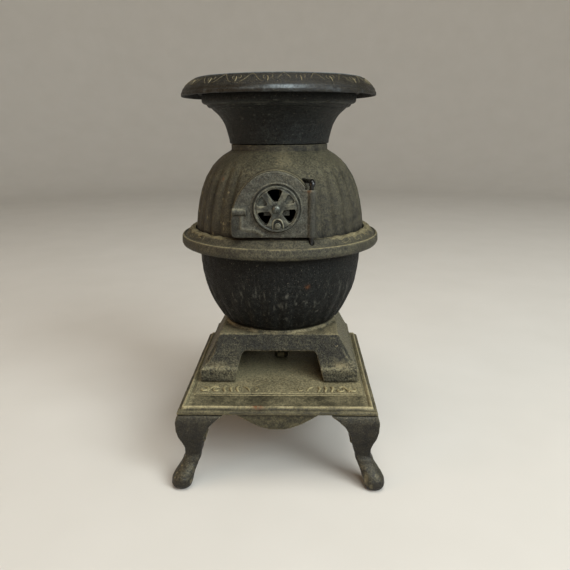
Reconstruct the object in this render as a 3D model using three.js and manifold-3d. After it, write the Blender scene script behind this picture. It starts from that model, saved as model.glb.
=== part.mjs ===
// A miniature pot-belly wood stove in cast iron: a hearth plate on four cabriole legs, an ash
// stand, a ribbed fire pot, a skirt ring, a fluted drum with a feed door and a draft wheel, a
// flared collar and a brim with a drop-in lid. One long tie rod clamps the whole stack.
// Millimetres, +Z up, the door faces -Y. The origin is on the floor, under the middle of the
// stove's footprint. Heights are above the floor. Inside the pot group X and Y start at the
// tie rod's axis.

import * as THREE from 'three';
import { mergeVertices } from 'three/addons/utils/BufferGeometryUtils.js';
import Module from 'manifold-3d';

const wasm = await Module();
wasm.setup();

// ---------------------------------------------------------------- driving dimensions

const GAP = 0.3;                 // clearance between castings that rest on each other
const WALL = 3;                  // casting thickness

const PLATE_HALF = 49.4;         // hearth plate: half width
const PLATE_FRONT = 68.8;        // its front and back edges, from the tie rod
const PLATE_BACK = 41.6;
const PLATE_TOP = 43.1;
const PLATE_BASE = 40.3;
const LOBE_DROP = 8.6;           // how far the scalloped apron hangs
const LOBE_FULLNESS = 0.5;       // 1 is a plain cosine, less is fuller
const FOOT_REACH = 4.4;          // the ball feet stand this far outside the plate's edges

const STAND_TOP = 69;            // ash stand
const STAND_TOP_HALF = 31.8;
const STAND_FOOT_HALF_X = 42.5;
const STAND_FOOT_HALF_Y = 37.6;
const SHOE_TOP = 50.6;
const ARCH_TOP = 59.8;
const ARCH_TOP_HALF = 20;
const ARCH_FOOT_HALF = 24;
const ASH_HOLE = 17;             // radius of the ash drop through stand and pot

const SEAT_TOP = 70.6;           // round seat for the fire pot
const SEAT_RADIUS = 31.9;
const POT_BOTTOM = SEAT_TOP + GAP;
const POT_TOP = 116.6;
const RING_SEAT_LOW = POT_TOP + GAP;
const RING_SEAT_TOP = 120.3;
const RING_RADIUS = 54.7;
// The pot stands this far behind the middle of the footprint.
const SETBACK = (PLATE_FRONT + FOOT_REACH - RING_RADIUS) / 2;
const DRUM_BOTTOM = RING_SEAT_TOP + GAP;
const NECK_TOP = 167.2;
const NECK_RADIUS = 26;
const COLLAR_BOTTOM = NECK_TOP + GAP;
const COLLAR_TOP = 192.2;
const BRIM_BOTTOM = COLLAR_TOP + GAP;
const BRIM_LIP = 191.4;
const BRIM_TOP = 200.4;
const BRIM_RADIUS = 51.4;
const LID_RADIUS = 36.2;

const DOOR_PLANE = -45.5;        // flat face of the door frame on the drum
const DOOR_BACK = DOOR_PLANE - GAP;
const DOOR_FRONT = -48.6;
const DOOR_MID = 138.6;          // height of the draft wheel's centre
const DOOR_ARC = 17.4;           // radius of the door's arched head
const DOOR_ARC_X = -0.7;
const DOOR_LEFT = -22;
const DOOR_BOTTOM = 124.5;
const HINGE_X = 16.7;            // hinge axis
const HINGE_Y = -47.2;
const KNUCKLE_RADIUS = 2.3;
const KNUCKLE_TOP = 147.2;
const PIN_RADIUS = 1.05;
const PIN_LEG_Z = 150.9;         // height of the pin's bent-over top
const PIN_BOTTOM = 118.4;

const WHEEL_RADIUS = 10.8;
const WHEEL_BACK = DOOR_FRONT - GAP;
const WHEEL_WEB = WHEEL_BACK - 0.9;
const WHEEL_FRONT = WHEEL_BACK - 2.1;
const WHEEL_TURN = 5;            // degrees from its vents being level with the door's
const VENT_INNER = 3.4;
const VENT_OUTER = 9.5;
const BLIND_INNER = 5;
const SPOKE = 1.6;               // the solid between two sectors, beside a vent
const BLIND_SPOKE = 4;           // and beside a blind sector
const VENT_CORNER = 1.6;         // rounding of a sector's outer corners
const RIVET_RADIUS = 1.2;

const ROD_RADIUS = 2;            // M4 tie rod and its nuts
const ROD_BOTTOM = 34.5;
const ROD_TOP = 197;
const NUT_FLATS = 7;
const NUT_HEIGHT = 3.2;
const WASHER_RADIUS = 4.5;
const WASHER_HEIGHT = 0.8;

const FLUE_Z = 146;              // smoke outlet on the back of the drum
const FLUE_RADIUS = 9;
const FLUE_BORE = 7;
const FLUE_PLANE = 43.5;
const FLUE_END = 54.5;
const FLUE_SCREW_X = 12.5;

const DRUM_SEGMENTS = 72;
const ROUND = 40;
const SMALL_ROUND = 20;
const REACH = 60;                // cutting solids reach past the whole stove

// ---------------------------------------------------------------- solids and booleans

function solid(geometry) {
  const bare = geometry.clone();
  bare.deleteAttribute('normal');
  bare.deleteAttribute('uv');
  const welded = mergeVertices(bare, 1e-4);
  const position = welded.attributes.position;
  const index = welded.index.array;
  const corners = [];
  let volume = 0;
  const a = new THREE.Vector3();
  const b = new THREE.Vector3();
  const c = new THREE.Vector3();
  for (let i = 0; i < index.length; i += 3) {
    const [p, q, r] = [index[i], index[i + 1], index[i + 2]];
    if (p === q || q === r || r === p) continue;
    corners.push(p, q, r);
    a.fromBufferAttribute(position, p);
    b.fromBufferAttribute(position, q);
    c.fromBufferAttribute(position, r);
    volume += a.dot(b.cross(c));
  }
  if (volume < 0) corners.reverse();
  return new wasm.Manifold(new wasm.Mesh({
    numProp: 3,
    vertProperties: new Float32Array(position.array),
    triVerts: new Uint32Array(corners),
  }));
}

function toGeometry(body) {
  const { vertProperties, triVerts } = body.getMesh();
  const geometry = new THREE.BufferGeometry();
  geometry.setAttribute('position', new THREE.BufferAttribute(vertProperties, 3));
  geometry.setIndex(new THREE.BufferAttribute(triVerts, 1));
  geometry.computeVertexNormals();
  return geometry;
}

const union = (...bodies) => bodies.reduce((whole, body) => whole.add(body));
const cut = (body, ...tools) => tools.reduce((whole, tool) => whole.subtract(tool), body);

// A solid of revolution about Z. The profile lists (radius, height); offset, when given,
// is a radial offset by angle from the front and height.
function turned(profile, segments = ROUND, offset = null) {
  const points = profile.map(([radius, height]) => new THREE.Vector2(radius, height));
  const closesOnItself = profile[0][0] > 0;
  if (closesOnItself) points.push(points[0].clone());
  const geometry = new THREE.LatheGeometry(points, segments);
  geometry.rotateX(Math.PI / 2);
  if (offset) {
    const position = geometry.attributes.position;
    for (let i = 0; i < position.count; i += 1) {
      const x = position.getX(i);
      const y = position.getY(i);
      const radius = Math.hypot(x, y);
      if (radius < 1e-6) continue;
      const angle = Math.atan2(x, -y);
      const scale = 1 + offset(angle, position.getZ(i)) / radius;
      position.setXY(i, x * scale, y * scale);
    }
  }
  return solid(geometry);
}

function cylinder(radius, low, high, x = 0, y = 0, segments = SMALL_ROUND) {
  const geometry = new THREE.CylinderGeometry(radius, radius, high - low, segments);
  geometry.rotateX(Math.PI / 2);
  geometry.translate(x, y, (low + high) / 2);
  return solid(geometry);
}

// A round bar between two points.
function bar(start, end, radius, segments = SMALL_ROUND) {
  const from = new THREE.Vector3(...start);
  const along = new THREE.Vector3(...end).sub(from);
  const geometry = new THREE.CylinderGeometry(radius, radius, along.length(), segments);
  const turn = new THREE.Quaternion().setFromUnitVectors(
    new THREE.Vector3(0, 1, 0), along.clone().normalize());
  geometry.applyQuaternion(turn);
  geometry.translate(...from.addScaledVector(along, 0.5).toArray());
  return solid(geometry);
}

function box(low, high) {
  const size = high.map((value, axis) => value - low[axis]);
  const geometry = new THREE.BoxGeometry(...size);
  geometry.translate(...high.map((value, axis) => (value + low[axis]) / 2));
  return solid(geometry);
}

function shapeOf(points) {
  return new THREE.Shape(points.map(([x, y]) => new THREE.Vector2(x, y)));
}

const flatExtrude = { bevelEnabled: false, curveSegments: 10 };

// Extrudes an outline drawn in the XY plane from one height to another.
function prismZ(shape, low, high) {
  const geometry = new THREE.ExtrudeGeometry(shape, { ...flatExtrude, depth: high - low });
  geometry.translate(0, 0, low);
  return solid(geometry);
}

// Extrudes an outline drawn in the XZ plane from y = near to y = far.
function prismY(shape, near, far) {
  const geometry = new THREE.ExtrudeGeometry(shape, { ...flatExtrude, depth: far - near });
  geometry.rotateX(Math.PI / 2);
  geometry.translate(0, far, 0);
  return solid(geometry);
}

// Extrudes an outline drawn in the YZ plane from x = low to x = high.
function prismX(shape, low, high) {
  return prismY(shape, -high, -low).rotate([0, 0, 90]);
}

function arc(centreX, centreY, radius, from, to, steps) {
  const points = [];
  for (let i = 0; i <= steps; i += 1) {
    const angle = THREE.MathUtils.degToRad(from + (to - from) * i / steps);
    points.push([centreX + radius * Math.cos(angle), centreY + radius * Math.sin(angle)]);
  }
  return points;
}

const mirrored = (points) => points.map(([x, y]) => [-x, y]).reverse();

// ---------------------------------------------------------------- materials

function iron(name, color, roughness, metalness = 0.75) {
  return new THREE.MeshStandardMaterial({ name, color, roughness, metalness });
}

const DRUM_IRON = iron('drum_iron', 0x4c493d, 0.72);
const BLACK_IRON = iron('black_iron', 0x1d1d1c, 0.66);
const BRIM_IRON = iron('brim_iron', 0x32322c, 0.6);
const BASE_IRON = iron('base_iron', 0x55533f, 0.8);
const DOOR_IRON = iron('door_iron', 0x454744, 0.6);
const WIRE_STEEL = iron('wire_steel', 0x141414, 0.25, 0.9);
const BOLT_STEEL = iron('bolt_steel', 0x5b564e, 0.5, 0.9);

const stove = new THREE.Group();
const stack = new THREE.Group();
stack.position.y = SETBACK;
stove.add(stack);

function place(name, body, material) {
  const mesh = new THREE.Mesh(toGeometry(body), material);
  mesh.name = name;
  stack.add(mesh);
}

// ---------------------------------------------------------------- hearth plate and legs

const PLATE_MID_Y = (PLATE_BACK - PLATE_FRONT) / 2;
const PLATE_HALF_Y = (PLATE_BACK + PLATE_FRONT) / 2;
const LEG_SCREW_INSET = 7.2;     // screw centre, from both outer edges of the plate
const LEG_BOSS_BASE = 36.5;
const LEG_LUG_BASE = 32.7;
const APRON_INSET = 1.6;
const APRON_THICKNESS = 2.4;
const LOBE_INSET = 28;           // each lobe ends this far from the corner
const CORNERS = [
  ['front_left', -1, -1],
  ['front_right', 1, -1],
  ['rear_left', -1, 1],
  ['rear_right', 1, 1],
];

// A rectangular moulding: the profile lists (half width, height), and the depth is scaled.
function moulding(profile, depthRatio) {
  const points = profile.map(([half, height]) => new THREE.Vector2(half * Math.SQRT2, height));
  const geometry = new THREE.LatheGeometry(points, 4, Math.PI / 4);
  geometry.rotateX(Math.PI / 2);
  geometry.scale(1, depthRatio, 1);
  return solid(geometry);
}

// One scalloped apron lobe, a raised cosine that hangs below the plate.
function lobe(halfSpan) {
  const points = [[-halfSpan, PLATE_BASE + 0.6], [halfSpan, PLATE_BASE + 0.6]];
  const steps = 16;
  for (let i = 0; i <= steps; i += 1) {
    const u = 1 - 2 * i / steps;
    const hang = LOBE_DROP * (0.5 + 0.5 * Math.cos(Math.PI * u)) ** LOBE_FULLNESS;
    points.push([halfSpan * u, PLATE_BASE - 0.3 - hang]);
  }
  return shapeOf(points.reverse());
}

function cornerPosition(sideX, sideY, inset) {
  const x = sideX * (PLATE_HALF - inset);
  const y = PLATE_MID_Y + sideY * (PLATE_HALF_Y - inset);
  return [x, y];
}

function basePlate() {
  const slab = moulding([
    [0, PLATE_BASE],
    [PLATE_HALF, PLATE_BASE],
    [PLATE_HALF, PLATE_BASE + 0.9],
    [PLATE_HALF - 0.7, PLATE_BASE + 1.7],
    [PLATE_HALF - 2, PLATE_BASE + 2.3],
    [PLATE_HALF - 2.4, PLATE_TOP + 0.6],
    [PLATE_HALF - 3.2, PLATE_TOP + 0.6],
    [PLATE_HALF - 3.9, PLATE_TOP],
    [0, PLATE_TOP],
  ], PLATE_HALF_Y / PLATE_HALF).translate([0, PLATE_MID_Y, 0]);
  const faceY = PLATE_FRONT - APRON_INSET;
  const rearY = PLATE_BACK - APRON_INSET;
  const faceX = PLATE_HALF - APRON_INSET;
  const acrossLobe = lobe(PLATE_HALF - LOBE_INSET);
  const sideLobe = lobe(PLATE_HALF_Y - LOBE_INSET);
  const aprons = [
    prismY(acrossLobe, -faceY, -faceY + APRON_THICKNESS),
    prismY(acrossLobe, rearY - APRON_THICKNESS, rearY),
    prismX(sideLobe, faceX - APRON_THICKNESS, faceX).translate([0, PLATE_MID_Y, 0]),
    prismX(sideLobe, -faceX, -faceX + APRON_THICKNESS).translate([0, PLATE_MID_Y, 0]),
  ];
  const bosses = [];
  const screwHoles = [];
  for (const [, sideX, sideY] of CORNERS) {
    const [x, y] = cornerPosition(sideX, sideY, LEG_SCREW_INSET);
    bosses.push(cylinder(3.5, LEG_BOSS_BASE, PLATE_BASE + 0.5, x, y));
    screwHoles.push(cylinder(1.65, LEG_BOSS_BASE - 1, PLATE_TOP - 1, x, y));
  }
  const rodHole = cylinder(ROD_RADIUS + GAP, PLATE_BASE - 1, PLATE_TOP + 1);
  return cut(union(slab, ...aprons, ...bosses), ...screwHoles, rodHole);
}

// The leg's outline, alike from the front and from the side: a swelling knee, a thin ankle
// and a ball foot. The first value is outward from the plate's edge, the second is height.
const LEG_OUTLINE = [
  [-3.5, 0], [1.8, 0], [3.5, 0.9], [FOOT_REACH, 2.8], [4.1, 5.6], [2.8, 8.2], [1, 10.7],
  [-0.9, 13.2], [-2, 15.8], [-2.3, 20], [-1.4, 24], [-0.1, 27.4], [0.8, 31.5], [1, 36.4],
  [0.4, 38.8], [-0.4, 40], [-22.8, 40], [-22.8, 39.5], [-18.8, 36.9], [-15.9, 34], [-14.2, 31],
  [-13.1, 27.6], [-12.3, 24], [-11.6, 20], [-10.6, 16], [-9.1, 11.9], [-7.4, 8], [-6.5, 4],
  [-5.6, 1.2],
];

function leg(sideX, sideY) {
  const outline = shapeOf(LEG_OUTLINE);
  const reach = 30;
  const body = prismY(outline, -reach, reach).intersect(prismX(outline, -reach, reach));
  const pocket = box([-reach, -reach, 26], [-WALL - 0.2, -WALL - 0.2, 45]);
  const lug = box([-10.9, -10.9, LEG_LUG_BASE], [-2.9, -2.9, LEG_BOSS_BASE - GAP]);
  const inset = -LEG_SCREW_INSET;
  const hole = cylinder(1.7, LEG_LUG_BASE - 1, LEG_BOSS_BASE + 1, inset, inset);
  const rightRear = cut(union(cut(body, pocket), lug), hole);
  const [x, y] = cornerPosition(sideX, sideY, 0);
  const quarterTurns = { '1,1': 0, '-1,1': 90, '-1,-1': 180, '1,-1': 270 };
  return rightRear.rotate([0, 0, quarterTurns[`${sideX},${sideY}`]]).translate([x, y, 0]);
}

// A slotted cheese-head screw, drawn pointing up from its head at z = 0.
function screw(headRadius, headHeight, shankRadius, shankLength) {
  const head = cylinder(headRadius, 0, headHeight);
  const shank = cylinder(shankRadius, headHeight - 0.2, headHeight + shankLength, 0, 0, 14);
  const slot = box([-headRadius - 1, -0.4, -1], [headRadius + 1, 0.4, headHeight * 0.4]);
  return cut(union(head, shank), slot);
}

place('base_plate', basePlate(), BASE_IRON);
for (const [corner, sideX, sideY] of CORNERS) {
  place(`leg_${corner}`, leg(sideX, sideY), BASE_IRON);
  const [x, y] = cornerPosition(sideX, sideY, LEG_SCREW_INSET);
  const headHeight = 2;
  const legScrew = screw(2.8, headHeight, 1.4, 9).translate([x, y, LEG_LUG_BASE - GAP - headHeight]);
  place(`leg_screw_${corner}`, legScrew, BOLT_STEEL);
}

// ---------------------------------------------------------------- ash stand

function frustum(topHalfX, footHalfX, topHalfY, footHalfY, low, high, shoeTop) {
  const side = (foot, top) => shapeOf([
    [-foot, low], [foot, low], [foot, shoeTop], [foot - 1.3, shoeTop + 0.8], [top, high],
    [-top, high], [-foot + 1.3, shoeTop + 0.8], [-foot, shoeTop],
  ]);
  const across = prismY(side(footHalfX, topHalfX), -REACH, REACH);
  return across.intersect(prismX(side(footHalfY, topHalfY), -REACH, REACH));
}

function ashStand() {
  const foot = PLATE_TOP + GAP;
  const shell = frustum(STAND_TOP_HALF, STAND_FOOT_HALF_X, STAND_TOP_HALF, STAND_FOOT_HALF_Y,
    foot, STAND_TOP, SHOE_TOP);
  const hollow = frustum(STAND_TOP_HALF - WALL, STAND_FOOT_HALF_X - WALL - 0.4,
    STAND_TOP_HALF - WALL, STAND_FOOT_HALF_Y - WALL - 0.4, foot - 1, STAND_TOP - WALL, SHOE_TOP);
  const archSide = [
    [ARCH_FOOT_HALF + 0.4, foot - 1],
    ...arc(ARCH_TOP_HALF - 2.6, ARCH_TOP - 3, 3, 20, 90, 5),
  ];
  const arch = prismY(shapeOf([...archSide, ...mirrored(archSide)]), -REACH, REACH);
  const cove = [
    [60, SHOE_TOP + 0.2], [42.3, SHOE_TOP + 0.2], [41.2, SHOE_TOP + 1], [39.2, 53.2],
    [37.5, 55], [36.2, 57.2], [35, 59.4], [34, 62], [33.1, 64.6], [32.4, 67], [31.9, 69.5],
    [60, 69.5],
  ];
  const rightCove = prismY(shapeOf(cove.slice().reverse()), -REACH, -STAND_TOP_HALF - 0.6);
  const leftCove = rightCove.mirror([1, 0, 0]);
  const seat = turned([
    [SEAT_RADIUS - 4.5, STAND_TOP - 0.5],
    [SEAT_RADIUS, STAND_TOP - 0.5],
    [SEAT_RADIUS, SEAT_TOP - 0.5],
    [SEAT_RADIUS - 0.5, SEAT_TOP],
    [SEAT_RADIUS - 4.5, SEAT_TOP],
  ]);
  const ashHole = cylinder(ASH_HOLE, STAND_TOP - WALL - 1, SEAT_TOP + 1, 0, 0, 40);
  return cut(union(cut(shell, hollow, arch, rightCove, leftCove), seat), ashHole);
}

place('ash_stand', ashStand(), BASE_IRON);

// ---------------------------------------------------------------- fire pot and grate

const RIBS = 28;
const RIB_TOP = 99;
const RIB_FADE = 7;              // the ribs die out over this height
const RIB_HEIGHT = 0.7;

function ribs(angle, height) {
  if (height < POT_BOTTOM + 1 || height > RIB_TOP) return 0;
  const share = Math.min(1, (RIB_TOP - height) / RIB_FADE);
  return share * RIB_HEIGHT * (0.5 - 0.5 * Math.cos(angle * RIBS));
}

function firePot() {
  const outside = [
    [0, POT_BOTTOM], [31.4, POT_BOTTOM], [33, 73.3], [35.2, 76.6], [37.7, 81], [40.3, 86.5],
    [42.4, 92.2], [43.8, 98.2], [44.6, 104], [44.9, 110], [44.9, POT_TOP], [0, POT_TOP],
  ];
  const inside = [
    [0, POT_BOTTOM + WALL], [28, POT_BOTTOM + WALL], [30.6, 75.4], [32.9, 78.8], [35.2, 83],
    [37.6, 88.2], [39.5, 93.6], [40.8, 99], [41.6, 104.4], [41.9, 110], [41.9, POT_TOP + 1],
    [0, POT_TOP + 1],
  ];
  const ashHole = cylinder(ASH_HOLE, POT_BOTTOM - 1, POT_BOTTOM + WALL + 1, 0, 0, 40);
  return cut(turned(outside, 2 * RIBS, ribs), turned(inside), ashHole);
}

function fireGrate() {
  const plate = new THREE.Shape();
  plate.absarc(0, 0, 26.5, 0, 2 * Math.PI);
  const hub = new THREE.Path();
  hub.absarc(0, 0, ROD_RADIUS + GAP, 0, 2 * Math.PI, true);
  plate.holes.push(hub);
  const bars = 12;
  for (let i = 0; i < bars; i += 1) {
    const slot = [[6, -1], [22.5, -1.9], [22.5, 1.9], [6, 1]].map(([x, y]) => (
      new THREE.Vector2(x, y).rotateAround(new THREE.Vector2(), 2 * Math.PI * i / bars)
    ));
    plate.holes.push(new THREE.Path(slot));
  }
  return prismZ(plate, POT_BOTTOM + WALL + GAP, POT_BOTTOM + WALL + GAP + 2.6);
}

place('fire_pot', firePot(), BLACK_IRON);
place('fire_grate', fireGrate(), BLACK_IRON);

// ---------------------------------------------------------------- skirt ring

function skirtRing() {
  const body = turned([
    [42.6, RING_SEAT_LOW], [45.3, RING_SEAT_LOW], [45.3, 113.4], [52.4, 113.5], [54, 114.3],
    [RING_RADIUS, 115.8], [54.5, 118.6], [54.1, 119.6], [53.1, 119.7], [49.4, 123.5],
    [46.9, 123.5], [46.9, RING_SEAT_TOP], [42.6, RING_SEAT_TOP],
  ]);
  const pinHole = cylinder(PIN_RADIUS + GAP, PIN_BOTTOM - GAP, 125, HINGE_X, HINGE_Y);
  return cut(body, pinHole);
}

place('skirt_ring', skirtRing(), DRUM_IRON);

// ---------------------------------------------------------------- drum

const FLUTE_PITCH = THREE.MathUtils.degToRad(10);
const SMOOTH_FRONT = THREE.MathUtils.degToRad(28);
const FLUTE_DEPTH = 0.6;
const FRAME_MARGIN = 0.7;

function flutes(angle, height) {
  if (Math.abs(angle) < SMOOTH_FRONT || height > 160 || height < DRUM_BOTTOM + 2) return 0;
  return -FLUTE_DEPTH * (0.5 + 0.5 * Math.cos(2 * Math.PI * angle / FLUTE_PITCH));
}

const SHOULDER_START = 130;      // degrees round the arched head
const DOOR_CORNER = 2;

// The door's outline in the XZ plane: an arched head that runs into a wider left shoulder.
// margin grows it into the frame behind the door.
function doorOutline(margin, rightEdge) {
  const radius = DOOR_ARC + margin;
  const start = THREE.MathUtils.radToDeg(Math.acos((rightEdge - DOOR_ARC_X) / radius));
  const bottom = DOOR_BOTTOM - margin / 2;
  const turn = THREE.MathUtils.degToRad(SHOULDER_START);
  const wider = (DOOR_ARC_X - DOOR_ARC - DOOR_LEFT) / (1 + Math.cos(turn));
  const shoulderX = DOOR_ARC_X - wider * Math.cos(turn);
  const shoulderZ = DOOR_MID - wider * Math.sin(turn);
  const left = DOOR_LEFT - margin;
  return [
    [rightEdge, bottom],
    ...arc(DOOR_ARC_X, DOOR_MID, radius, Math.min(start, 32), SHOULDER_START, 14),
    ...arc(shoulderX, shoulderZ, radius + wider, SHOULDER_START + 7, 180, 7),
    ...arc(left + DOOR_CORNER, bottom + DOOR_CORNER, DOOR_CORNER, 180, 270, 5),
  ];
}

// The smoke outlet's lozenge flange in the XZ plane: a round middle and two screw ears.
function flueOutline(margin) {
  const ear = 4.4 + margin;
  const middle = 10.9 + margin;
  const earHalf = 75;
  return shapeOf([
    ...arc(FLUE_SCREW_X, FLUE_Z, ear, -earHalf, earHalf, 8),
    ...arc(0, FLUE_Z, middle, 60, 120, 6),
    ...arc(-FLUE_SCREW_X, FLUE_Z, ear, 180 - earHalf, 180 + earHalf, 8),
    ...arc(0, FLUE_Z, middle, 240, 300, 6),
  ]);
}

function pinLeg() {
  const bend = new THREE.Vector3(HINGE_X, HINGE_Y, PIN_LEG_Z);
  const tip = new THREE.Vector3(13.2, -36.9, PIN_LEG_Z);
  return { bend, tip };
}

function drum() {
  const outside = [
    [0, DRUM_BOTTOM], [46.5, DRUM_BOTTOM], [46.3, 124.2], [45.6, 131], [44.4, 137.5],
    [42.8, 143.6], [40.3, 150], [36.5, 156], [33.4, 159.1], [30.4, 161.5], [27.6, 163.2],
    [NECK_RADIUS, 164.2], [NECK_RADIUS, NECK_TOP], [0, NECK_TOP],
  ];
  const inside = [
    [0, DRUM_BOTTOM - 1], [43.4, DRUM_BOTTOM - 1], [43.2, 124], [42.5, 130.6], [41.3, 136.8],
    [39.8, 142.4], [37.5, 148.3], [34.2, 153.5], [29.4, 157.9], [25, 161.2],
    [NECK_RADIUS - WALL, 163], [NECK_RADIUS - WALL, NECK_TOP + 1], [0, NECK_TOP + 1],
  ];
  const frameEdge = HINGE_X - KNUCKLE_RADIUS - 0.5;
  const doorFrame = prismY(shapeOf(doorOutline(FRAME_MARGIN, frameEdge)), DOOR_PLANE, -25);
  const frameClear = prismY(shapeOf(doorOutline(FRAME_MARGIN, HINGE_X)), -60, DOOR_PLANE);
  const opening = prismY(shapeOf([
    [-10.5, 128.5], [10.5, 128.5], ...arc(0, DOOR_MID, 11.2, 15, 165, 10),
  ]), -60, -25);
  const knuckleClear = cylinder(KNUCKLE_RADIUS + 0.4, 123, KNUCKLE_TOP + 0.6, HINGE_X, HINGE_Y);
  const { bend, tip } = pinLeg();
  const socketEnd = tip.clone().add(tip.clone().sub(bend).setLength(GAP));
  const pinSocket = bar(bend.toArray(), socketEnd.toArray(), PIN_RADIUS + GAP);

  const fluePad = prismY(flueOutline(0.6), 25, FLUE_PLANE);
  const flueClear = prismY(flueOutline(0.6), FLUE_PLANE, REACH);
  const flueBore = bar([0, 25, FLUE_Z], [0, 60, FLUE_Z], FLUE_BORE, 32);
  const flueHoles = [-1, 1].map((side) => (
    bar([side * FLUE_SCREW_X, 38.7, FLUE_Z], [side * FLUE_SCREW_X, 50, FLUE_Z], 1.45)
  ));

  const body = union(turned(outside, DRUM_SEGMENTS, flutes), doorFrame, fluePad);
  return cut(body, frameClear, turned(inside), opening, knuckleClear, pinSocket, flueClear,
    flueBore, ...flueHoles);
}

function flueCollar() {
  const near = FLUE_PLANE + GAP;
  const plate = prismY(flueOutline(0), near, near + 2.4);
  const spigot = bar([0, near + 1, FLUE_Z], [0, FLUE_END, FLUE_Z], FLUE_RADIUS, 32);
  const bore = bar([0, near - 1, FLUE_Z], [0, FLUE_END + 1, FLUE_Z], FLUE_BORE, 32);
  const holes = [-1, 1].map((side) => (
    bar([side * FLUE_SCREW_X, near - 1, FLUE_Z], [side * FLUE_SCREW_X, 50, FLUE_Z], 1.5)
  ));
  return cut(union(plate, spigot), bore, ...holes);
}

place('drum', drum(), DRUM_IRON);
place('flue_collar', flueCollar(), DRUM_IRON);
for (const [name, side] of [['left', -1], ['right', 1]]) {
  const headHeight = 1.7;
  const headBack = FLUE_PLANE + GAP + 2.4 + GAP + headHeight;
  const flueScrew = screw(2.3, headHeight, 1.15, 6.2).rotate([90, 0, 0])
    .translate([side * FLUE_SCREW_X, headBack, FLUE_Z]);
  place(`flue_screw_${name}`, flueScrew, BOLT_STEEL);
}

// ---------------------------------------------------------------- feed door and hinge pin

const VENT_ANGLES = [90, 210, 330];
const BLIND_ANGLES = [30, 150, 270];

// Points from one place to another on a curve pulled towards a corner.
function rounded(start, corner, end) {
  return [0, 0.25, 0.5, 0.75, 1].map((t) => [0, 1].map((axis) => (
    start[axis] * (1 - t) ** 2 + corner[axis] * 2 * t * (1 - t) + end[axis] * t * t)));
}

// One sector between two spokes of even width, about the wheel's centre.
function sector(middle, inner, outer, spoke) {
  const halfAt = (radius) => 30 - THREE.MathUtils.radToDeg(Math.asin(spoke / 2 / radius));
  const at = (radius, side, trim = 0) => {
    const angle = THREE.MathUtils.degToRad(middle + side * (halfAt(radius) - trim));
    return [radius * Math.cos(angle), DOOR_MID + radius * Math.sin(angle)];
  };
  const outerTrim = THREE.MathUtils.radToDeg(VENT_CORNER / outer);
  const innerTrim = halfAt(inner) / 2;
  const reach = halfAt(outer) - outerTrim;
  return shapeOf([
    ...rounded(at(outer - VENT_CORNER, -1), at(outer, -1), at(outer, -1, outerTrim)),
    ...arc(0, DOOR_MID, outer, middle - reach, middle + reach, 5).slice(1, -1),
    ...rounded(at(outer, 1, outerTrim), at(outer, 1), at(outer - VENT_CORNER, 1)),
    ...rounded(at(inner + VENT_CORNER / 2, 1), at(inner, 1), at(inner, 1, innerTrim)),
    ...rounded(at(inner, -1, innerTrim), at(inner, -1), at(inner + VENT_CORNER / 2, -1)),
  ]);
}

function feedDoor() {
  const panel = prismY(shapeOf(doorOutline(0, HINGE_X)), DOOR_FRONT, DOOR_BACK);
  const headClear = box([13.5, -60, KNUCKLE_TOP], [30, -30, 160]);
  const knuckle = cylinder(KNUCKLE_RADIUS, DOOR_BOTTOM, KNUCKLE_TOP, HINGE_X, HINGE_Y);
  const latchLug = bar([-21.4, -48.2, 137], [-14.6, -48.2, 137], 1.9);
  const hub = box([-6.2, -60, DOOR_MID - 3.5], [6.2, -30, DOOR_MID + 3.5]);
  const vents = VENT_ANGLES.map((angle) => cut(
    prismY(sector(angle + WHEEL_TURN, VENT_INNER, VENT_OUTER - 0.3, SPOKE), -60, -40), hub));
  const pinBore = cylinder(PIN_RADIUS + GAP, 120, 150, HINGE_X, HINGE_Y);
  const rivetBore = bar([0, -60, DOOR_MID], [0, -40, DOOR_MID], RIVET_RADIUS + 0.25, 14);
  return cut(union(cut(panel, headClear), knuckle, latchLug), pinBore, rivetBore, ...vents);
}

// A wire pin: down through the knuckle into the skirt ring, its top bent over into the drum.
function hingePin() {
  const { bend, tip } = pinLeg();
  const bendRadius = 2.4;
  const down = new THREE.Vector3(0, 0, -bendRadius);
  const intoDrum = tip.clone().sub(bend).setLength(bendRadius);
  const path = new THREE.CurvePath();
  const bendStart = bend.clone().add(intoDrum);
  const bendEnd = bend.clone().add(down);
  path.add(new THREE.LineCurve3(tip, bendStart));
  path.add(new THREE.QuadraticBezierCurve3(bendStart, bend, bendEnd));
  path.add(new THREE.LineCurve3(bendEnd, new THREE.Vector3(HINGE_X, HINGE_Y, PIN_BOTTOM)));
  const wire = new THREE.Shape();
  wire.absarc(0, 0, PIN_RADIUS, 0, 2 * Math.PI);
  return solid(new THREE.ExtrudeGeometry(wire, {
    extrudePath: path, steps: 24, curveSegments: 5, bevelEnabled: false,
  }));
}

place('feed_door', feedDoor(), DOOR_IRON);
place('hinge_pin', hingePin(), WIRE_STEEL);

// ---------------------------------------------------------------- draft wheel and rivet

function draftWheel() {
  const disc = bar([0, WHEEL_BACK, DOOR_MID], [0, WHEEL_FRONT, DOOR_MID], WHEEL_RADIUS, 48);
  const through = VENT_ANGLES.map((angle) => (
    prismY(sector(angle, VENT_INNER, VENT_OUTER, SPOKE), -60, -40)));
  const blind = BLIND_ANGLES.map((angle) => (
    prismY(sector(angle, BLIND_INNER, VENT_OUTER, BLIND_SPOKE), -60, WHEEL_WEB)));
  const knobZ = DOOR_MID - 7.7;
  const knob = bar([0, WHEEL_WEB + 0.2, knobZ], [0, WHEEL_FRONT - 2.1, knobZ], 1.35, 14);
  const tab = box([-2.6, WHEEL_FRONT + 0.3, DOOR_MID - 10], [2.6, WHEEL_WEB + 0.1, DOOR_MID - 5.6]);
  const bore = bar([0, -60, DOOR_MID], [0, -40, DOOR_MID], RIVET_RADIUS + 0.25, 14);
  return cut(union(cut(disc, ...through, ...blind), tab, knob), bore)
    .translate([0, 0, -DOOR_MID]).rotate([0, -WHEEL_TURN, 0]).translate([0, 0, DOOR_MID]);
}

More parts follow.
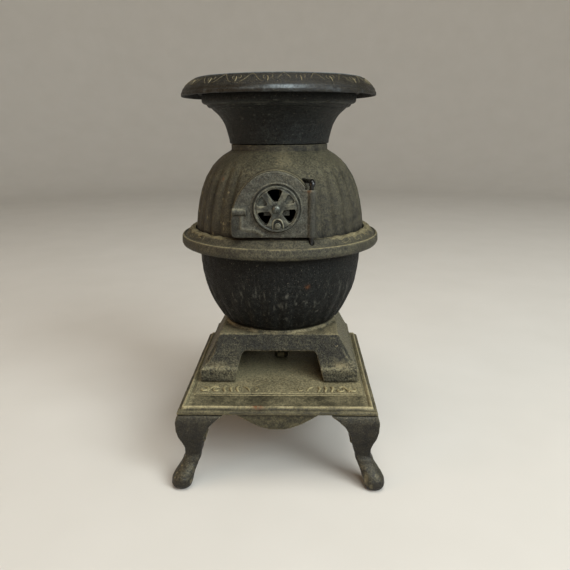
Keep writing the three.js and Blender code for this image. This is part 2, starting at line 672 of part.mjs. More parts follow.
// The rivet is drawn about Z and then laid along Y: dome, shank and upset tail.
function draftRivet() {
  const front = -WHEEL_FRONT + GAP;
  const back = 44.6;
  return turned([
    [0, front + 1.6], [1, front + 1.4], [1.7, front + 0.9], [2.1, front], [RIVET_RADIUS, front],
    [RIVET_RADIUS, back - GAP], [1.9, back - GAP], [1.5, back - 1.2], [0, back - 1.4],
  ], SMALL_ROUND).rotate([90, 0, 0]).translate([0, 0, DOOR_MID]);
}

function draftWasher() {
  const ring = bar([0, -45.5, DOOR_MID], [0, -44.6, DOOR_MID], 3);
  return cut(ring, bar([0, -47, DOOR_MID], [0, -43, DOOR_MID], RIVET_RADIUS + 0.25, 14));
}

place('draft_wheel', draftWheel(), DOOR_IRON);
place('draft_rivet', draftRivet(), BOLT_STEEL);
place('draft_washer', draftWasher(), BOLT_STEEL);

// ---------------------------------------------------------------- collar, brim and lid

function topCollar() {
  return turned([
    [26.8, COLLAR_BOTTOM], [26.9, 169.5], [28.1, 174.2], [29.1, 177.2], [30.5, 179.8],
    [32.2, 182.1], [34.2, 184], [35.5, 185.1], [37.6, 185.9], [38.4, 187.2], [40.3, 187.9],
    [41, 188.9], [41, COLLAR_TOP], [38, COLLAR_TOP], [38, 190.6], [36.2, 188.9], [33.2, 187.1],
    [30.6, 184.4], [28.4, 181.4], [26.2, 177.6], [25, 174], [23.9, 169.5],
    [23.9, COLLAR_BOTTOM],
  ]);
}

const LID_LEDGE = 197.6;
const STRAP_LEDGE = 195.3;
const LID_REBATE = LID_RADIUS + GAP;
const STRAP_REBATE = 34.6;

function topBrim() {
  const edge = BRIM_RADIUS;
  return turned([
    [31, BRIM_BOTTOM], [42.6, BRIM_BOTTOM], [42.8, 194.8], [edge - 4.7, 195.5],
    [edge - 2.3, 193.9], [edge - 2, BRIM_LIP], [edge, BRIM_LIP], [edge, 193.4],
    [edge - 0.7, 194.6], [edge - 1.9, 196], [edge - 3.9, 197.9], [edge - 5.8, 199.5],
    [edge - 7, BRIM_TOP], [LID_REBATE, BRIM_TOP],
    [LID_REBATE, LID_LEDGE], [STRAP_REBATE, LID_LEDGE], [STRAP_REBATE, STRAP_LEDGE],
    [31, STRAP_LEDGE],
  ]);
}

function lid() {
  const low = LID_LEDGE + GAP;
  const disc = turned([
    [0, low], [LID_RADIUS - 0.6, low], [LID_RADIUS, low + 0.6], [LID_RADIUS, BRIM_TOP], [0, BRIM_TOP],
  ]);
  const lifterRecess = box([-2.3, -30, BRIM_TOP - 1.5], [2.3, -20, BRIM_TOP + 1]);
  return cut(disc, lifterRecess);
}

place('top_collar', topCollar(), BLACK_IRON);
place('top_brim', topBrim(), BRIM_IRON);
place('lid', lid(), BRIM_IRON);

// ---------------------------------------------------------------- tie rod, strap and nuts

function nut(low) {
  const hexagon = [];
  for (let i = 0; i < 6; i += 1) {
    const angle = Math.PI / 3 * i;
    const corner = NUT_FLATS / Math.sqrt(3);
    hexagon.push([corner * Math.cos(angle), corner * Math.sin(angle)]);
  }
  const body = prismZ(shapeOf(hexagon), low, low + NUT_HEIGHT);
  return cut(body, cylinder(ROD_RADIUS + 0.25, low - 1, low + NUT_HEIGHT + 1));
}

function washer(low) {
  const disc = cylinder(WASHER_RADIUS, low, low + WASHER_HEIGHT, 0, 0, 28);
  return cut(disc, cylinder(ROD_RADIUS + 0.25, low - 1, low + WASHER_HEIGHT + 1));
}

const STRAP_LOW = 189.5;
const STRAP_THICKNESS = 1.8;

// A dished strap across the brim's inner ledge. The top nut pulls on its lowered middle.
function clampStrap() {
  const end = STRAP_REBATE - GAP - 0.6;
  const under = STRAP_LEDGE + GAP;
  const over = under + STRAP_THICKNESS;
  const right = [
    [13, STRAP_LOW], [24.5, under], [end, under], [end, over], [24, over],
    [12.4, STRAP_LOW + STRAP_THICKNESS],
  ];
  const width = 7;
  const strap = prismY(shapeOf([...right, ...mirrored(right)]), -width / 2, width / 2);
  return cut(strap, cylinder(ROD_RADIUS + GAP, STRAP_LOW - 1, STRAP_LOW + 4));
}

const topWasherLow = STRAP_LOW + STRAP_THICKNESS + GAP;
const bottomWasherLow = PLATE_BASE - GAP - WASHER_HEIGHT;

place('clamp_strap', clampStrap(), BOLT_STEEL);
place('tie_rod', cylinder(ROD_RADIUS, ROD_BOTTOM, ROD_TOP, 0, 0, 24), BOLT_STEEL);
place('bottom_washer', washer(bottomWasherLow), BOLT_STEEL);
place('bottom_nut', nut(bottomWasherLow - GAP - NUT_HEIGHT), BOLT_STEEL);
place('plate_nut', nut(PLATE_TOP + GAP), BOLT_STEEL);
place('top_washer', washer(topWasherLow), BOLT_STEEL);
place('top_nut', nut(topWasherLow + WASHER_HEIGHT + GAP), BOLT_STEEL);

export default stove;
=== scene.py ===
"""The looks of a miniature cast-iron pot-belly stove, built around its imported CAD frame.

Lengths are millimetres until a mesh is made, and the pot's axis is X = Y = 0 until then.
Left is -X, the door faces -Y and +Z is up.
"""
import math

import bpy
import numpy as np
from mathutils import Matrix, Vector


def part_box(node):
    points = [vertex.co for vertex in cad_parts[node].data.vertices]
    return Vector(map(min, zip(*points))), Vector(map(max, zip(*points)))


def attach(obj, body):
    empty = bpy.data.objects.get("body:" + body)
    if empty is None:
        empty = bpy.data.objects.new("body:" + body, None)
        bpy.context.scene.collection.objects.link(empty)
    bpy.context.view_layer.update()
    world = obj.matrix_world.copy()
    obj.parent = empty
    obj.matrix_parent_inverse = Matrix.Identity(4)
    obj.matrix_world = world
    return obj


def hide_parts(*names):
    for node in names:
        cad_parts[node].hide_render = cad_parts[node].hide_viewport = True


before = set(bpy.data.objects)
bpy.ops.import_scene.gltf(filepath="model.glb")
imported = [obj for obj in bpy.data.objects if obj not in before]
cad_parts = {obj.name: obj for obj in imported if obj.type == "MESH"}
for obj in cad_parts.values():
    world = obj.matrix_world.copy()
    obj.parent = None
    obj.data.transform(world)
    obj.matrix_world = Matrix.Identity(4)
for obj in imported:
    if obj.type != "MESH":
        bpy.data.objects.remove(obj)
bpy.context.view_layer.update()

MM = 0.001
ROD_LOW, ROD_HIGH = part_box("tie_rod")
AXIS_Y = (ROD_LOW.y + ROD_HIGH.y) / 2      # the pot's axis, in metres
WIRE_RADIUS = 1.05                         # the hinge pin


def span(node):
    """Lowest and highest corner of a CAD node in millimetres, from the pot's axis."""
    low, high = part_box(node)
    shift = Vector((0, AXIS_Y, 0))
    return (low - shift) / MM, (high - shift) / MM


def hinge_line():
    """X and Y of the door's hinge."""
    low, high = span("hinge_pin")
    return high.x - WIRE_RADIUS, low.y + WIRE_RADIUS


def wheel_centre():
    low, high = span("draft_wheel")
    return np.array([(low.x + high.x) / 2, low.y, (low.z + high.z) / 2])


# ---------------------------------------------------------------- noise and outlines

def noise(points, size, seed):
    """Smooth noise from -1 to 1 with lumps of the given size, the same on every run."""
    cells = 48
    lattice = np.random.default_rng(seed).uniform(-1, 1, (cells, cells, cells))
    scaled = points / size + 100.37
    corner = np.floor(scaled).astype(int)
    part = scaled - corner
    part = part * part * (3 - 2 * part)
    total = np.zeros(len(points))
    for dx in (0, 1):
        for dy in (0, 1):
            for dz in (0, 1):
                weight = np.where(dx, part[:, 0], 1 - part[:, 0])
                weight = weight * np.where(dy, part[:, 1], 1 - part[:, 1])
                weight = weight * np.where(dz, part[:, 2], 1 - part[:, 2])
                i, j, k = ((corner + (dx, dy, dz)) % cells).T
                total += weight * lattice[i, j, k]
    return total


def ramp(value, start, end):
    """0 before start, 1 after end, and smooth between them."""
    t = np.clip((value - start) / (end - start), 0, 1)
    return t * t * (3 - 2 * t)


def softened(outline, radius, closed):
    """The outline with each corner cut by a small curve."""
    points = [np.array(p, float) for p in outline]
    result = []
    for i, corner in enumerate(points):
        if not closed and i in (0, len(points) - 1):
            result.append(corner)
            continue
        back = points[i - 1] - corner
        ahead = points[(i + 1) % len(points)] - corner
        start = corner + back * min(0.45, radius / np.linalg.norm(back))
        end = corner + ahead * min(0.45, radius / np.linalg.norm(ahead))
        for t in (0, 0.25, 0.5, 0.75, 1):
            result.append(start * (1 - t) ** 2 + corner * 2 * t * (1 - t) + end * t * t)
    return result


def stepped(points, step, closed):
    """The same line with no step longer than the given one."""
    result = []
    last = len(points) if closed else len(points) - 1
    for i in range(last):
        start, end = points[i], points[(i + 1) % len(points)]
        count = max(1, math.ceil(np.linalg.norm(end - start) / step))
        result += [start + (end - start) * k / count for k in range(count)]
    if not closed:
        result.append(points[-1])
    return np.array(result)


def eased(points, rounds=3):
    """A smooth line through the neighbourhood of a few points, with the same ends."""
    line = np.array(points, float)
    for _ in range(rounds):
        near = line[:-1] * 0.75 + line[1:] * 0.25
        far = line[:-1] * 0.25 + line[1:] * 0.75
        line = np.concatenate([line[:1], np.stack([near, far], 1).reshape(-1, 2), line[-1:]])
    return line


def curl(u, v, width, height, start, turn=430):
    """A spiral that winds inwards, starting at an angle in degrees."""
    t = np.linspace(0, 1, 22)
    angle = np.radians(start + turn * t)
    reach = 1 - 0.75 * t
    return np.stack([u + width * reach * np.cos(angle), v + height * reach * np.sin(angle)], 1)


def off_line(points, line):
    """How far each point of a plane is from a line through several points."""
    best = np.full(len(points), np.inf)
    for start, end in zip(line[:-1], line[1:]):
        along = end - start
        t = np.clip((points - start) @ along / (along @ along), 0, 1)
        best = np.minimum(best, np.linalg.norm(points - start - t[:, None] * along, axis=1))
    return best


# ---------------------------------------------------------------- meshes

def piece_from(name, vertices, faces, body="stove_body"):
    """A smooth-shaded object from millimetre points, riding on a body."""
    mesh = bpy.data.meshes.new(name)
    placed = np.asarray(vertices, float) * MM + (0, AXIS_Y, 0)
    mesh.from_pydata(placed.tolist(), [], faces)
    mesh.polygons.foreach_set("use_smooth", [True] * len(mesh.polygons))
    mesh.update()
    piece = bpy.data.objects.new(name, mesh)
    bpy.context.scene.collection.objects.link(piece)
    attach(piece, body)
    return piece


def points_of(mesh):
    """Vertices and normals of a mesh as arrays, the vertices in millimetres."""
    flat = np.zeros(len(mesh.vertices) * 3)
    mesh.vertices.foreach_get("co", flat)
    points = (flat.reshape(-1, 3) - (0, AXIS_Y, 0)) / MM
    mesh.vertex_normals.foreach_get("vector", flat)
    return points, flat.reshape(-1, 3)


def move_points(mesh, points):
    mesh.vertices.foreach_set("co", (points * MM + (0, AXIS_Y, 0)).ravel())
    mesh.update()


def displace(piece, height):
    """Moves the surface out along its normals by height(points, normals), in millimetres."""
    points, normals = points_of(piece.data)
    move_points(piece.data, points + normals * height(points, normals)[:, None])


def paint(piece, **layers):
    """Stores one number per vertex for each named layer: worn marks with painted highlights, sooty marks
    with painted shade, a dusty film with painted light and shade, or rust.
    """
    points, normals = points_of(piece.data)
    for name, layer in layers.items():
        attribute = piece.data.attributes.new(name, "FLOAT", "POINT")
        values = np.clip(layer(points, normals), -1, 1)
        attribute.data.foreach_set("value", values.astype(np.float32))


def applied(piece):
    """Turns the piece's modifiers into its mesh."""
    graph = bpy.context.evaluated_depsgraph_get()
    mesh = bpy.data.meshes.new_from_object(piece.evaluated_get(graph))
    piece.modifiers.clear()
    piece.data = mesh
    mesh.polygons.foreach_set("use_smooth", [True] * len(mesh.polygons))
    return piece


def turned(name, profile, segments, step=0.5, radius=0.35, offset=None, body="stove_body"):
    """A piece turned about the pot's axis. offset(angle from the front, height, radius)
    pushes the surface out along its own normal."""
    closed = profile[0][0] > 0
    line = stepped(softened(profile, radius, closed), step, closed)
    r, z = line.T
    ahead = np.roll(line, -1, 0) - np.roll(line, 1, 0)
    normal = np.stack([ahead[:, 1], -ahead[:, 0]], 1)
    normal /= np.maximum(np.linalg.norm(normal, axis=1), 1e-9)[:, None]
    area = np.sum(r * np.roll(z, -1) - z * np.roll(r, -1))
    turn = 1 if area > 0 else -1
    normal *= turn
    angle = np.linspace(0, 2 * math.pi, segments, endpoint=False)
    grid_r = np.repeat(r[:, None], segments, 1)
    grid_z = np.repeat(z[:, None], segments, 1)
    grid_a = np.repeat(angle[None, :], len(r), 0)
    if offset:
        push = offset(np.where(grid_a > math.pi, grid_a - 2 * math.pi, grid_a), grid_z, grid_r)
        grid_r = grid_r + push * normal[:, :1]
        grid_z = grid_z + push * normal[:, 1:]
    vertices = np.stack([grid_r * np.sin(grid_a), -grid_r * np.cos(grid_a), grid_z], 2)
    rows = len(r)
    faces = []
    for i in range(rows if closed else rows - 1):
        below, above = i * segments, (i + 1) % rows * segments
        for j in range(segments):
            k = (j + 1) % segments
            quad = (below + j, below + k, above + k, above + j)
            faces.append(quad if turn > 0 else quad[::-1])
    return piece_from(name, vertices.reshape(-1, 3), faces, body)


def cast(name, node, slot, voxel, passes, body="stove_body"):
    """A fine, slightly rounded skin over a CAD node, like a sand casting."""
    piece = bpy.data.objects.new(name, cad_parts[node].data.copy())
    bpy.context.scene.collection.objects.link(piece)
    remesh = piece.modifiers.new("fine", "REMESH")
    remesh.mode = "VOXEL"
    remesh.voxel_size = voxel * MM
    soften = piece.modifiers.new("soften", "SMOOTH")
    soften.factor = 0.5
    soften.iterations = passes
    applied(piece)
    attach(piece, body)
    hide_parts(node)
    return piece


def tube_arrays(path, radii, sides=8):
    """Vertices and faces of a round tube with closed, tapered ends."""
    path = np.asarray(path, float)
    radii = np.broadcast_to(np.asarray(radii, float), len(path))
    tangent = np.gradient(path, axis=0)
    tangent /= np.linalg.norm(tangent, axis=1)[:, None]
    side = np.cross(tangent[0], (0.31, 0.42, 0.85))
    rings = []
    around = np.linspace(0, 2 * math.pi, sides, endpoint=False)
    for point, along, radius in zip(path, tangent, radii):
        side = side - along * (side @ along)
        side /= np.linalg.norm(side)
        other = np.cross(along, side)
        rings.append(point + radius * (np.cos(around)[:, None] * side + np.sin(around)[:, None] * other))
    vertices = np.concatenate([*rings, path[:1], path[-1:]])
    faces = []
    for i in range(len(path) - 1):
        for j in range(sides):
            k = (j + 1) % sides
            faces.append((i * sides + j, i * sides + k, (i + 1) * sides + k, (i + 1) * sides + j))
    start, end = len(path) * sides, len(path) * sides + 1
    last = (len(path) - 1) * sides
    for j in range(sides):
        k = (j + 1) % sides
        faces.append((start, k, j))
        faces.append((end, last + j, last + k))
    return vertices, faces


def tubes(name, strokes, body="stove_body", sides=8):
    """One piece of many tubes. Each stroke is (path, radii)."""
    vertices, faces = [], []
    for path, radii in strokes:
        base = sum(len(v) for v in vertices)
        new_vertices, new_faces = tube_arrays(path, radii, sides)
        vertices.append(new_vertices)
        faces += [tuple(base + i for i in face) for face in new_faces]
    return piece_from(name, np.concatenate(vertices), faces, body)


def relief(name, strokes, surface, material, body="stove_body"):
    """Raised lines laid on a surface. Each stroke is (flat line, width); surface maps it to 3-D."""
    laid = []
    for line, width in strokes:
        swell = np.sin(math.pi * np.linspace(0, 1, len(line))) ** 0.6
        laid.append((surface(line), width * (0.3 + 0.7 * swell)))
    finish_with(tubes(name, laid, body, 6), material)


def carved(piece, start, end, radius, sides=24):
    """Cuts a round hole between two points."""
    vertices, faces = tube_arrays([start, end], radius, sides)
    mesh = bpy.data.meshes.new("cutter")
    mesh.from_pydata((vertices * MM + (0, AXIS_Y, 0)).tolist(), [], faces)
    cutter = bpy.data.objects.new("cutter", mesh)
    bpy.context.scene.collection.objects.link(cutter)
    hole = piece.modifiers.new("hole", "BOOLEAN")
    hole.object = cutter
    hole.operation = "DIFFERENCE"
    hole.solver = "EXACT"
    applied(piece)
    bpy.data.objects.remove(cutter)


# ---------------------------------------------------------------- materials

class Graph:
    """A short way to write a material's nodes."""

    def __init__(self, name):
        self.material = bpy.data.materials.new(name)
        self.material.use_nodes = True
        self.tree = self.material.node_tree
        self.tree.nodes.clear()

    def add(self, kind, inputs=None, **settings):
        made = self.tree.nodes.new("ShaderNode" + kind)
        for key, value in settings.items():
            setattr(made, key, value)
        for key, value in (inputs or {}).items():
            if isinstance(value, bpy.types.NodeSocket):
                self.tree.links.new(value, made.inputs[key])
            else:
                made.inputs[key].default_value = value
        return made

    def noise(self, where, size_mm, detail=3, roughness=0.55):
        made = self.add("TexNoise", {"Vector": where, "Scale": 1 / (size_mm * MM),
                                     "Detail": detail, "Roughness": roughness})
        return made.outputs["Fac"]

    def layer(self, name):
        return self.add("Attribute", attribute_name=name).outputs["Fac"]

    def math(self, operation, first, second=0.0, clamp=False):
        made = self.add("Math", {0: first, 1: second}, operation=operation, use_clamp=clamp)
        return made.outputs[0]

    def fit(self, value, low, high, out_low=0.0, out_high=1.0):
        made = self.add("MapRange", {"Value": value, "From Min": low, "From Max": high,
                                     "To Min": out_low, "To Max": out_high},
                        interpolation_type="SMOOTHSTEP")
        return made.outputs[0]

    def mix(self, factor, first, second, blend="MIX"):
        made = self.add("Mix", {"Factor": factor, 6: first, 7: second},
                        data_type="RGBA", blend_type=blend)
        return made.outputs[2]


def linear(hex_colour):
    """A #rrggbb colour as Blender's linear red, green, blue and alpha."""
    channels = [int(hex_colour[i:i + 2], 16) / 255 for i in (1, 3, 5)]
    return [c / 12.92 if c <= 0.04045 else ((c + 0.055) / 1.055) ** 2.4 for c in channels] + [1]


def iron(name, dark, light, dust, dusty=0.6, grain_mm=0.6, grain=0.5, metallic=0.35,
         rough=(0.5, 0.8), worn="#a89c78", specks=0.25, mottle=0.45, edges=0.5, shine=0.5,
         painted_shade_floor=0.2):
    """Old cast iron: mottled metal, a dusty film on what faces up, worn pale edges, and painted shade in
    recesses and creases; the layers add painted highlights and shade on some parts.
    """
    g = Graph(name)
    where = g.add("TexCoord").outputs["Object"]
    broad = g.noise(where, 16, 3)
    patches = g.noise(where, 3.2, 5, 0.62)
    fine = g.noise(where, 1.1, 4, 0.65)
    sand = g.noise(where, grain_mm, 3, 0.65)
    metal = g.mix(g.fit(patches, 0.35, 0.68), linear(dark), linear(light))
    geometry = g.add("NewGeometry").outputs
    upward = g.add("SeparateXYZ", {0: geometry["Normal"]}).outputs["Z"]
    # A dusty film on what faces up, in random patches, plus the dusty layer, which on some parts also holds
    # painted light where it is raised and painted shade where it is lowered.
    dust_light_and_shade_cover = g.math("ADD", g.fit(upward, -0.15, 0.9), g.fit(broad, 0.3, 0.75, -0.25, 0.35))
    dust_light_and_shade_cover = g.math("ADD", dust_light_and_shade_cover, g.layer("dust"))
    dust_light_and_shade_cover = g.math("MULTIPLY", dust_light_and_shade_cover, g.fit(fine, 0.25, 0.6, 0.55, 1.0), clamp=True)
    colour = g.mix(g.math("MULTIPLY", dust_light_and_shade_cover, dusty), metal, linear(dust))
    blotch = g.math("ADD", g.math("MULTIPLY", fine, 0.5), g.math("MULTIPLY", sand, 0.5))
    colour = g.mix(1.0, colour, g.fit(blotch, 0.38, 0.62, 1 - mottle, 1 + mottle), "MULTIPLY")
    # Worn pale edges from convex spots, plus the worn layer, which also holds painted highlights on lips,
    # ridges and tops; both take the worn colour.
    wear_and_highlight_mask = g.math("MULTIPLY", g.fit(geometry["Pointiness"], 0.515, 0.57), edges)
    wear_and_highlight_mask = g.math("ADD", wear_and_highlight_mask, g.layer("wear"))
    wear_and_highlight_share = g.math("MULTIPLY", wear_and_highlight_mask, g.fit(fine, 0.3, 0.62, 0.35, 1.0), clamp=True)
    colour = g.mix(wear_and_highlight_share, colour, linear(worn))
    speck = g.math("MULTIPLY", g.fit(g.noise(where, 0.55, 1, 0.4), 0.7, 0.78), specks)
    colour = g.mix(speck, colour, linear("#b9b09a"))
    rusty = g.math("MULTIPLY", g.layer("rust"), g.fit(fine, 0.35, 0.55))
    colour = g.mix(rusty, colour, linear("#6d4426"))
    # Painted shade in creases and hollows found from pointiness, added to the sooty layer (real soot and
    # painted shade), is mixed towards near-black; the same share dulls the metal and its reflections.
    soot_and_shade_mask = g.math("ADD", g.layer("soot"), g.fit(geometry["Pointiness"], 0.488, 0.44, 0.0, 0.6))
    soot_and_shade_mask = g.math("MULTIPLY", soot_and_shade_mask, 0.9, True)
    colour = g.mix(soot_and_shade_mask, colour, linear("#080706"))
    clean = g.fit(soot_and_shade_mask, 0, 0.9, 1.0, 0.15)
    # Painted shade: an ambient-occlusion darkening is multiplied into the colour in recesses and where parts
    # meet.
    shade = g.add("AmbientOcclusion", {"Distance": 5 * MM}, samples=6).outputs["AO"]
    painted_ao_shade = g.fit(shade, 0.15, 0.95, painted_shade_floor, 1.0)
    colour = g.mix(1.0, colour, painted_ao_shade, "MULTIPLY")
    roughness = g.fit(g.math("ADD", g.math("MULTIPLY", patches, 0.6), g.math("MULTIPLY", fine, 0.4)),
                      0.35, 0.65, rough[0], rough[1])
    height = g.math("ADD", g.math("MULTIPLY", sand, 0.7), g.math("MULTIPLY", fine, 0.5))
    bump = g.add("Bump", {"Height": height, "Strength": grain, "Distance": 0.45 * MM})
    shader = g.add("BsdfPrincipled", {"Base Color": colour, "Metallic": g.math("MULTIPLY", clean, metallic),
                                      "Roughness": roughness,
                                      "Specular IOR Level": g.math("MULTIPLY", clean, shine),
                                      "Normal": bump.outputs[0]})
    g.add("OutputMaterial", {"Surface": shader.outputs[0]})
    return g.material


DRUM_IRON = iron("olive_iron", "#26241c", "#484436", "#625d47", dusty=0.6, grain=1.6, mottle=0.6)
RING_IRON = iron("ring_iron", "#28261d", "#4b4839", "#5a5541", dusty=0.5, grain=1.3, mottle=0.6,
                 worn="#9a8f6b")
POT_IRON = iron("pot_iron", "#0a0b0a", "#1c1d1b", "#1f1f1a", dusty=0.4, rough=(0.5, 0.75),
                worn="#5f5e56", specks=0.25, edges=0.08, mottle=0.98, metallic=0.0, shine=0.16,
                grain=1.6)
COLLAR_IRON = iron("collar_iron", "#0e0f0e", "#1d1f1d", "#25261f", dusty=0.4, rough=(0.45, 0.7),
                   worn="#63665f", specks=0.2, edges=0.3, mottle=0.98, metallic=0.0, shine=0.2,
                   grain=1.5)
# The pale bluish worn colour also paints the highlight on the front lip.
BRIM_IRON = iron("brim_iron", "#0e0c07", "#1b1810", "#221e13", dusty=0.5, rough=(0.4, 0.62),
                 edges=0.2, mottle=0.9, worn="#7d868a", metallic=0.1, shine=0.35, grain=0.9)
BASE_IRON = iron("base_iron", "#332f20", "#5c563f", "#928969", dusty=0.9, grain_mm=0.8,
                 worn="#aea27b", painted_shade_floor=0.6, mottle=0.38, grain=0.9)
STAND_IRON = iron("stand_iron", "#26251e", "#3d3b30", "#726d55", dusty=0.65, grain_mm=0.75, grain=1.8,
                  mottle=0.8)
LEG_IRON = iron("leg_iron", "#181510", "#2c281e", "#444030", dusty=0.65, mottle=0.6, grain=0.9,
                rough=(0.36, 0.62))
DOOR_IRON = iron("door_iron", "#35332a", "#47473e", "#6a6754", dusty=0.5, metallic=0.35,
                 rough=(0.36, 0.6), edges=0.5, mottle=0.5, worn="#948f78", grain=1.1)
WHEEL_IRON = iron("wheel_iron", "#2f2f2a", "#4b4d45", "#66665a", dusty=0.35, metallic=0.5,
                  rough=(0.34, 0.58), grain_mm=0.6, edges=0.7, worn="#9a967f")
RIVET_IRON = iron("rivet_iron", "#3f413c", "#666963", "#6a6a5c", dusty=0.3, metallic=0.7,
                  rough=(0.3, 0.48), grain_mm=0.5, edges=0.0)
BOLT_STEEL = iron("bolt_steel", "#2e2c29", "#4b4741", "#4c493e", dusty=0.3, metallic=0.9,
                  rough=(0.35, 0.6), grain=0.2, mottle=0.25)
RELIEF = iron("worn_relief", "#565039", "#877c5c", "#9a8f6a", dusty=0.7, worn="#aea278")
RING_RELIEF = iron("ring_relief", "#47432f", "#696148", "#756c50", dusty=0.6, worn="#8e8463")
FAINT = iron("faint_relief", "#3b3524", "#615941", "#665d44", dusty=0.5, worn="#8f8566", edges=0.4)


def glossy_wire():
    """Black enamelled wire with a few scuffs."""
    g = Graph("glossy_wire")
    where = g.add("TexCoord").outputs["Object"]
    scuffs = g.noise(where, 0.9, 4, 0.7)
    colour = g.mix(g.fit(scuffs, 0.6, 0.75), linear("#0c0c0c"), linear("#54423a"))
    roughness = g.fit(scuffs, 0.3, 0.75, 0.12, 0.5)
    bump = g.add("Bump", {"Height": scuffs, "Strength": 0.15, "Distance": 0.1 * MM})
    shader = g.add("BsdfPrincipled", {"Base Color": colour, "Metallic": 0.3,
                                      "Roughness": roughness, "Normal": bump.outputs[0]})
    g.add("OutputMaterial", {"Surface": shader.outputs[0]})
    return g.material


WIRE = glossy_wire()


def finish_with(piece, material):
    piece.data.materials.clear()
    piece.data.materials.append(material)


def lumps(points, seed, broad=0.09, small=0.035):
    """The uneven skin of a sand casting, in millimetres."""
    return broad * noise(points, 7, seed) + small * noise(points, 1.6, seed + 1)


# ---------------------------------------------------------------- brim, lid and collar

def brim():
    low, high = span("top_brim")
    edge, lip, top = high.x, low.z, high.z
    seat = span("top_collar")[1].z + 0.3
    mouth = span("lid")[1].x + 0.3
    ledge = 2.8
    rebate = span("clamp_strap")[1].x + 0.9
    strap = span("clamp_strap")[1].z - 2.1
    profile = [
        (31, seat), (42.6, seat), (42.8, top - 5.6), (47.6, top - 4.9), (edge - 2.4, lip + 2.2),
        (edge - 2, lip), (edge, lip), (edge, lip + 1.6), (edge - 0.5, lip + 2.2),
        (edge - 0.8, top - 5.6), (edge - 2.2, top - 4), (edge - 4.4, top - 2), (edge - 6, top - 0.7),
        (edge - 6.9, top - 0.6), (edge - 7.3, top), (edge - 9.2, top), (edge - 9.7, top - 0.3),
        (mouth, top - 0.3), (mouth, top - ledge), (rebate, top - ledge), (rebate, strap), (31, strap),
    ]

    def uneven(angle, height, radius):
        return 0.12 * np.sin(3 * angle + 0.6) * ramp(radius, 44, edge)

    piece = turned("brim", profile, 620, 0.5, 0.45, uneven)
    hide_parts("top_brim")
    displace(piece, lambda p, n: lumps(p, 11, 0.05, 0.02))
    radius = lambda p: np.hypot(p[:, 0], p[:, 1])

    def painted_lip_highlight(p):
        """1 on the part of the front lip that gets a painted highlight, a pale bluish streak standing in for
        a lamp's reflection.
        """
        return (np.exp(-((p[:, 0] - 4) / 9) ** 2) * (p[:, 1] < 0)
                * ramp(radius(p), edge - 1.1, edge - 0.6) * ramp(p[:, 2], lip + 1.1, lip + 1.7)
                * (1 - ramp(p[:, 2], lip + 2.6, lip + 3.4)))

    paint(
        piece,
        wear=lambda p, n: 0.14 * ramp(noise(p, 2, 5), 0.1, 0.8) * ramp(radius(p), edge - 0.9, edge)
        + 0.6 * ramp(p[:, 2], top - 0.5, top - 0.2) * ramp(radius(p), edge - 8.4, edge - 7.6)
        + 0.75 * painted_lip_highlight(p) * ramp(noise(p, 3.5, 7), -1.8, 0.4),
        # Painted shade: what faces down under the brim is darkened, less so at the lip.
        soot=lambda p, n: 1.1 * ramp(-n[:, 2], 0, 0.5) * (1 - 0.7 * ramp(radius(p), edge - 1, edge)),
    )
    finish_with(piece, BRIM_IRON)


def brim_vines():
    """Festoons with a small drop and two curls between them, repeated around the brim's dome."""
    high = span("top_brim")[1]
    edge, top = high.x, high.z
    dome = [(0, edge - 6.4, top - 0.6), (0.35, edge - 4.3, top - 2.15), (0.7, edge - 2.15, top - 4.15),
            (1, edge - 0.75, top - 5.6)]
    down, radii, heights = np.array(dome).T

    def on_dome(line):
        angle = np.radians(line[:, 0])
        radius = np.interp(line[:, 1], down, radii)
        return np.stack([radius * np.sin(angle), -radius * np.cos(angle),
                         np.interp(line[:, 1], down, heights)], 1)

    strokes = []
    repeats = 20
    for i in range(repeats):
        at = 360 * i / repeats - 4
        strokes += [
            (eased([(at + 2.5, 0.75), (at + 5, 0.6), (at + 8.6, 0), (at + 9.4, 0), (at + 13, 0.6),
                    (at + 15.5, 0.75)]), 0.17),
            (eased([(at - 0.4, 0.3), (at + 0.3, 0.5), (at, 0.75)], 2), 0.38),
            (curl(at - 1.8, 0.35, 1.3, 0.22, 20, 290), 0.17),
            (curl(at + 2, 0.3, 1.2, 0.2, 160, -290), 0.17),
        ]
    relief("brim_vines", strokes, on_dome, FAINT)


def collar():
    low, high = span("top_collar")
    foot, top = low.z, high.z
    profile = [
        (26.5, foot), (26.8, foot + 0.6), (26.9, foot + 2), (28.1, foot + 6.7), (29.1, foot + 9.7),
        (30.5, foot + 12.3), (32.2, foot + 14.6), (34.2, foot + 16.5), (35.5, foot + 17.6),
        (35.7, foot + 18.1), (37.5, foot + 18.5), (38.2, foot + 19.3), (38.4, foot + 19.9),
        (40, foot + 20.3), (40.8, foot + 21.1), (41, top - 2.8), (41, top), (38, top),
        (38, top - 1.6), (36.2, top - 3.3), (33.2, top - 5.1), (30.6, top - 7.8),
        (28.4, top - 10.8), (26.2, top - 14.6), (25, foot + 6.5), (23.9, foot + 2), (23.9, foot),
    ]
    piece = turned("collar", profile, 420, 0.5, 0.5)
    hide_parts("top_collar")
    displace(piece, lambda p, n: lumps(p, 21, 0.06, 0.03))
    paint(
        piece,
        # Painted highlight: tops and the flange ridge are made paler, broken up by noise.
        wear=lambda p, n: ramp(noise(p, 4, 8), -0.9, 0.4) * (
            0.5 * ramp(n[:, 2], 0, 0.5) + 0.4 * np.exp(-((p[:, 2] - foot - 19.9) / 0.35) ** 2)),
        # A darker band near the top, just under the brim.
        soot=lambda p, n: 0.5 * ramp(p[:, 2], top - 2.6, top - 1),
    )
    finish_with(piece, COLLAR_IRON)


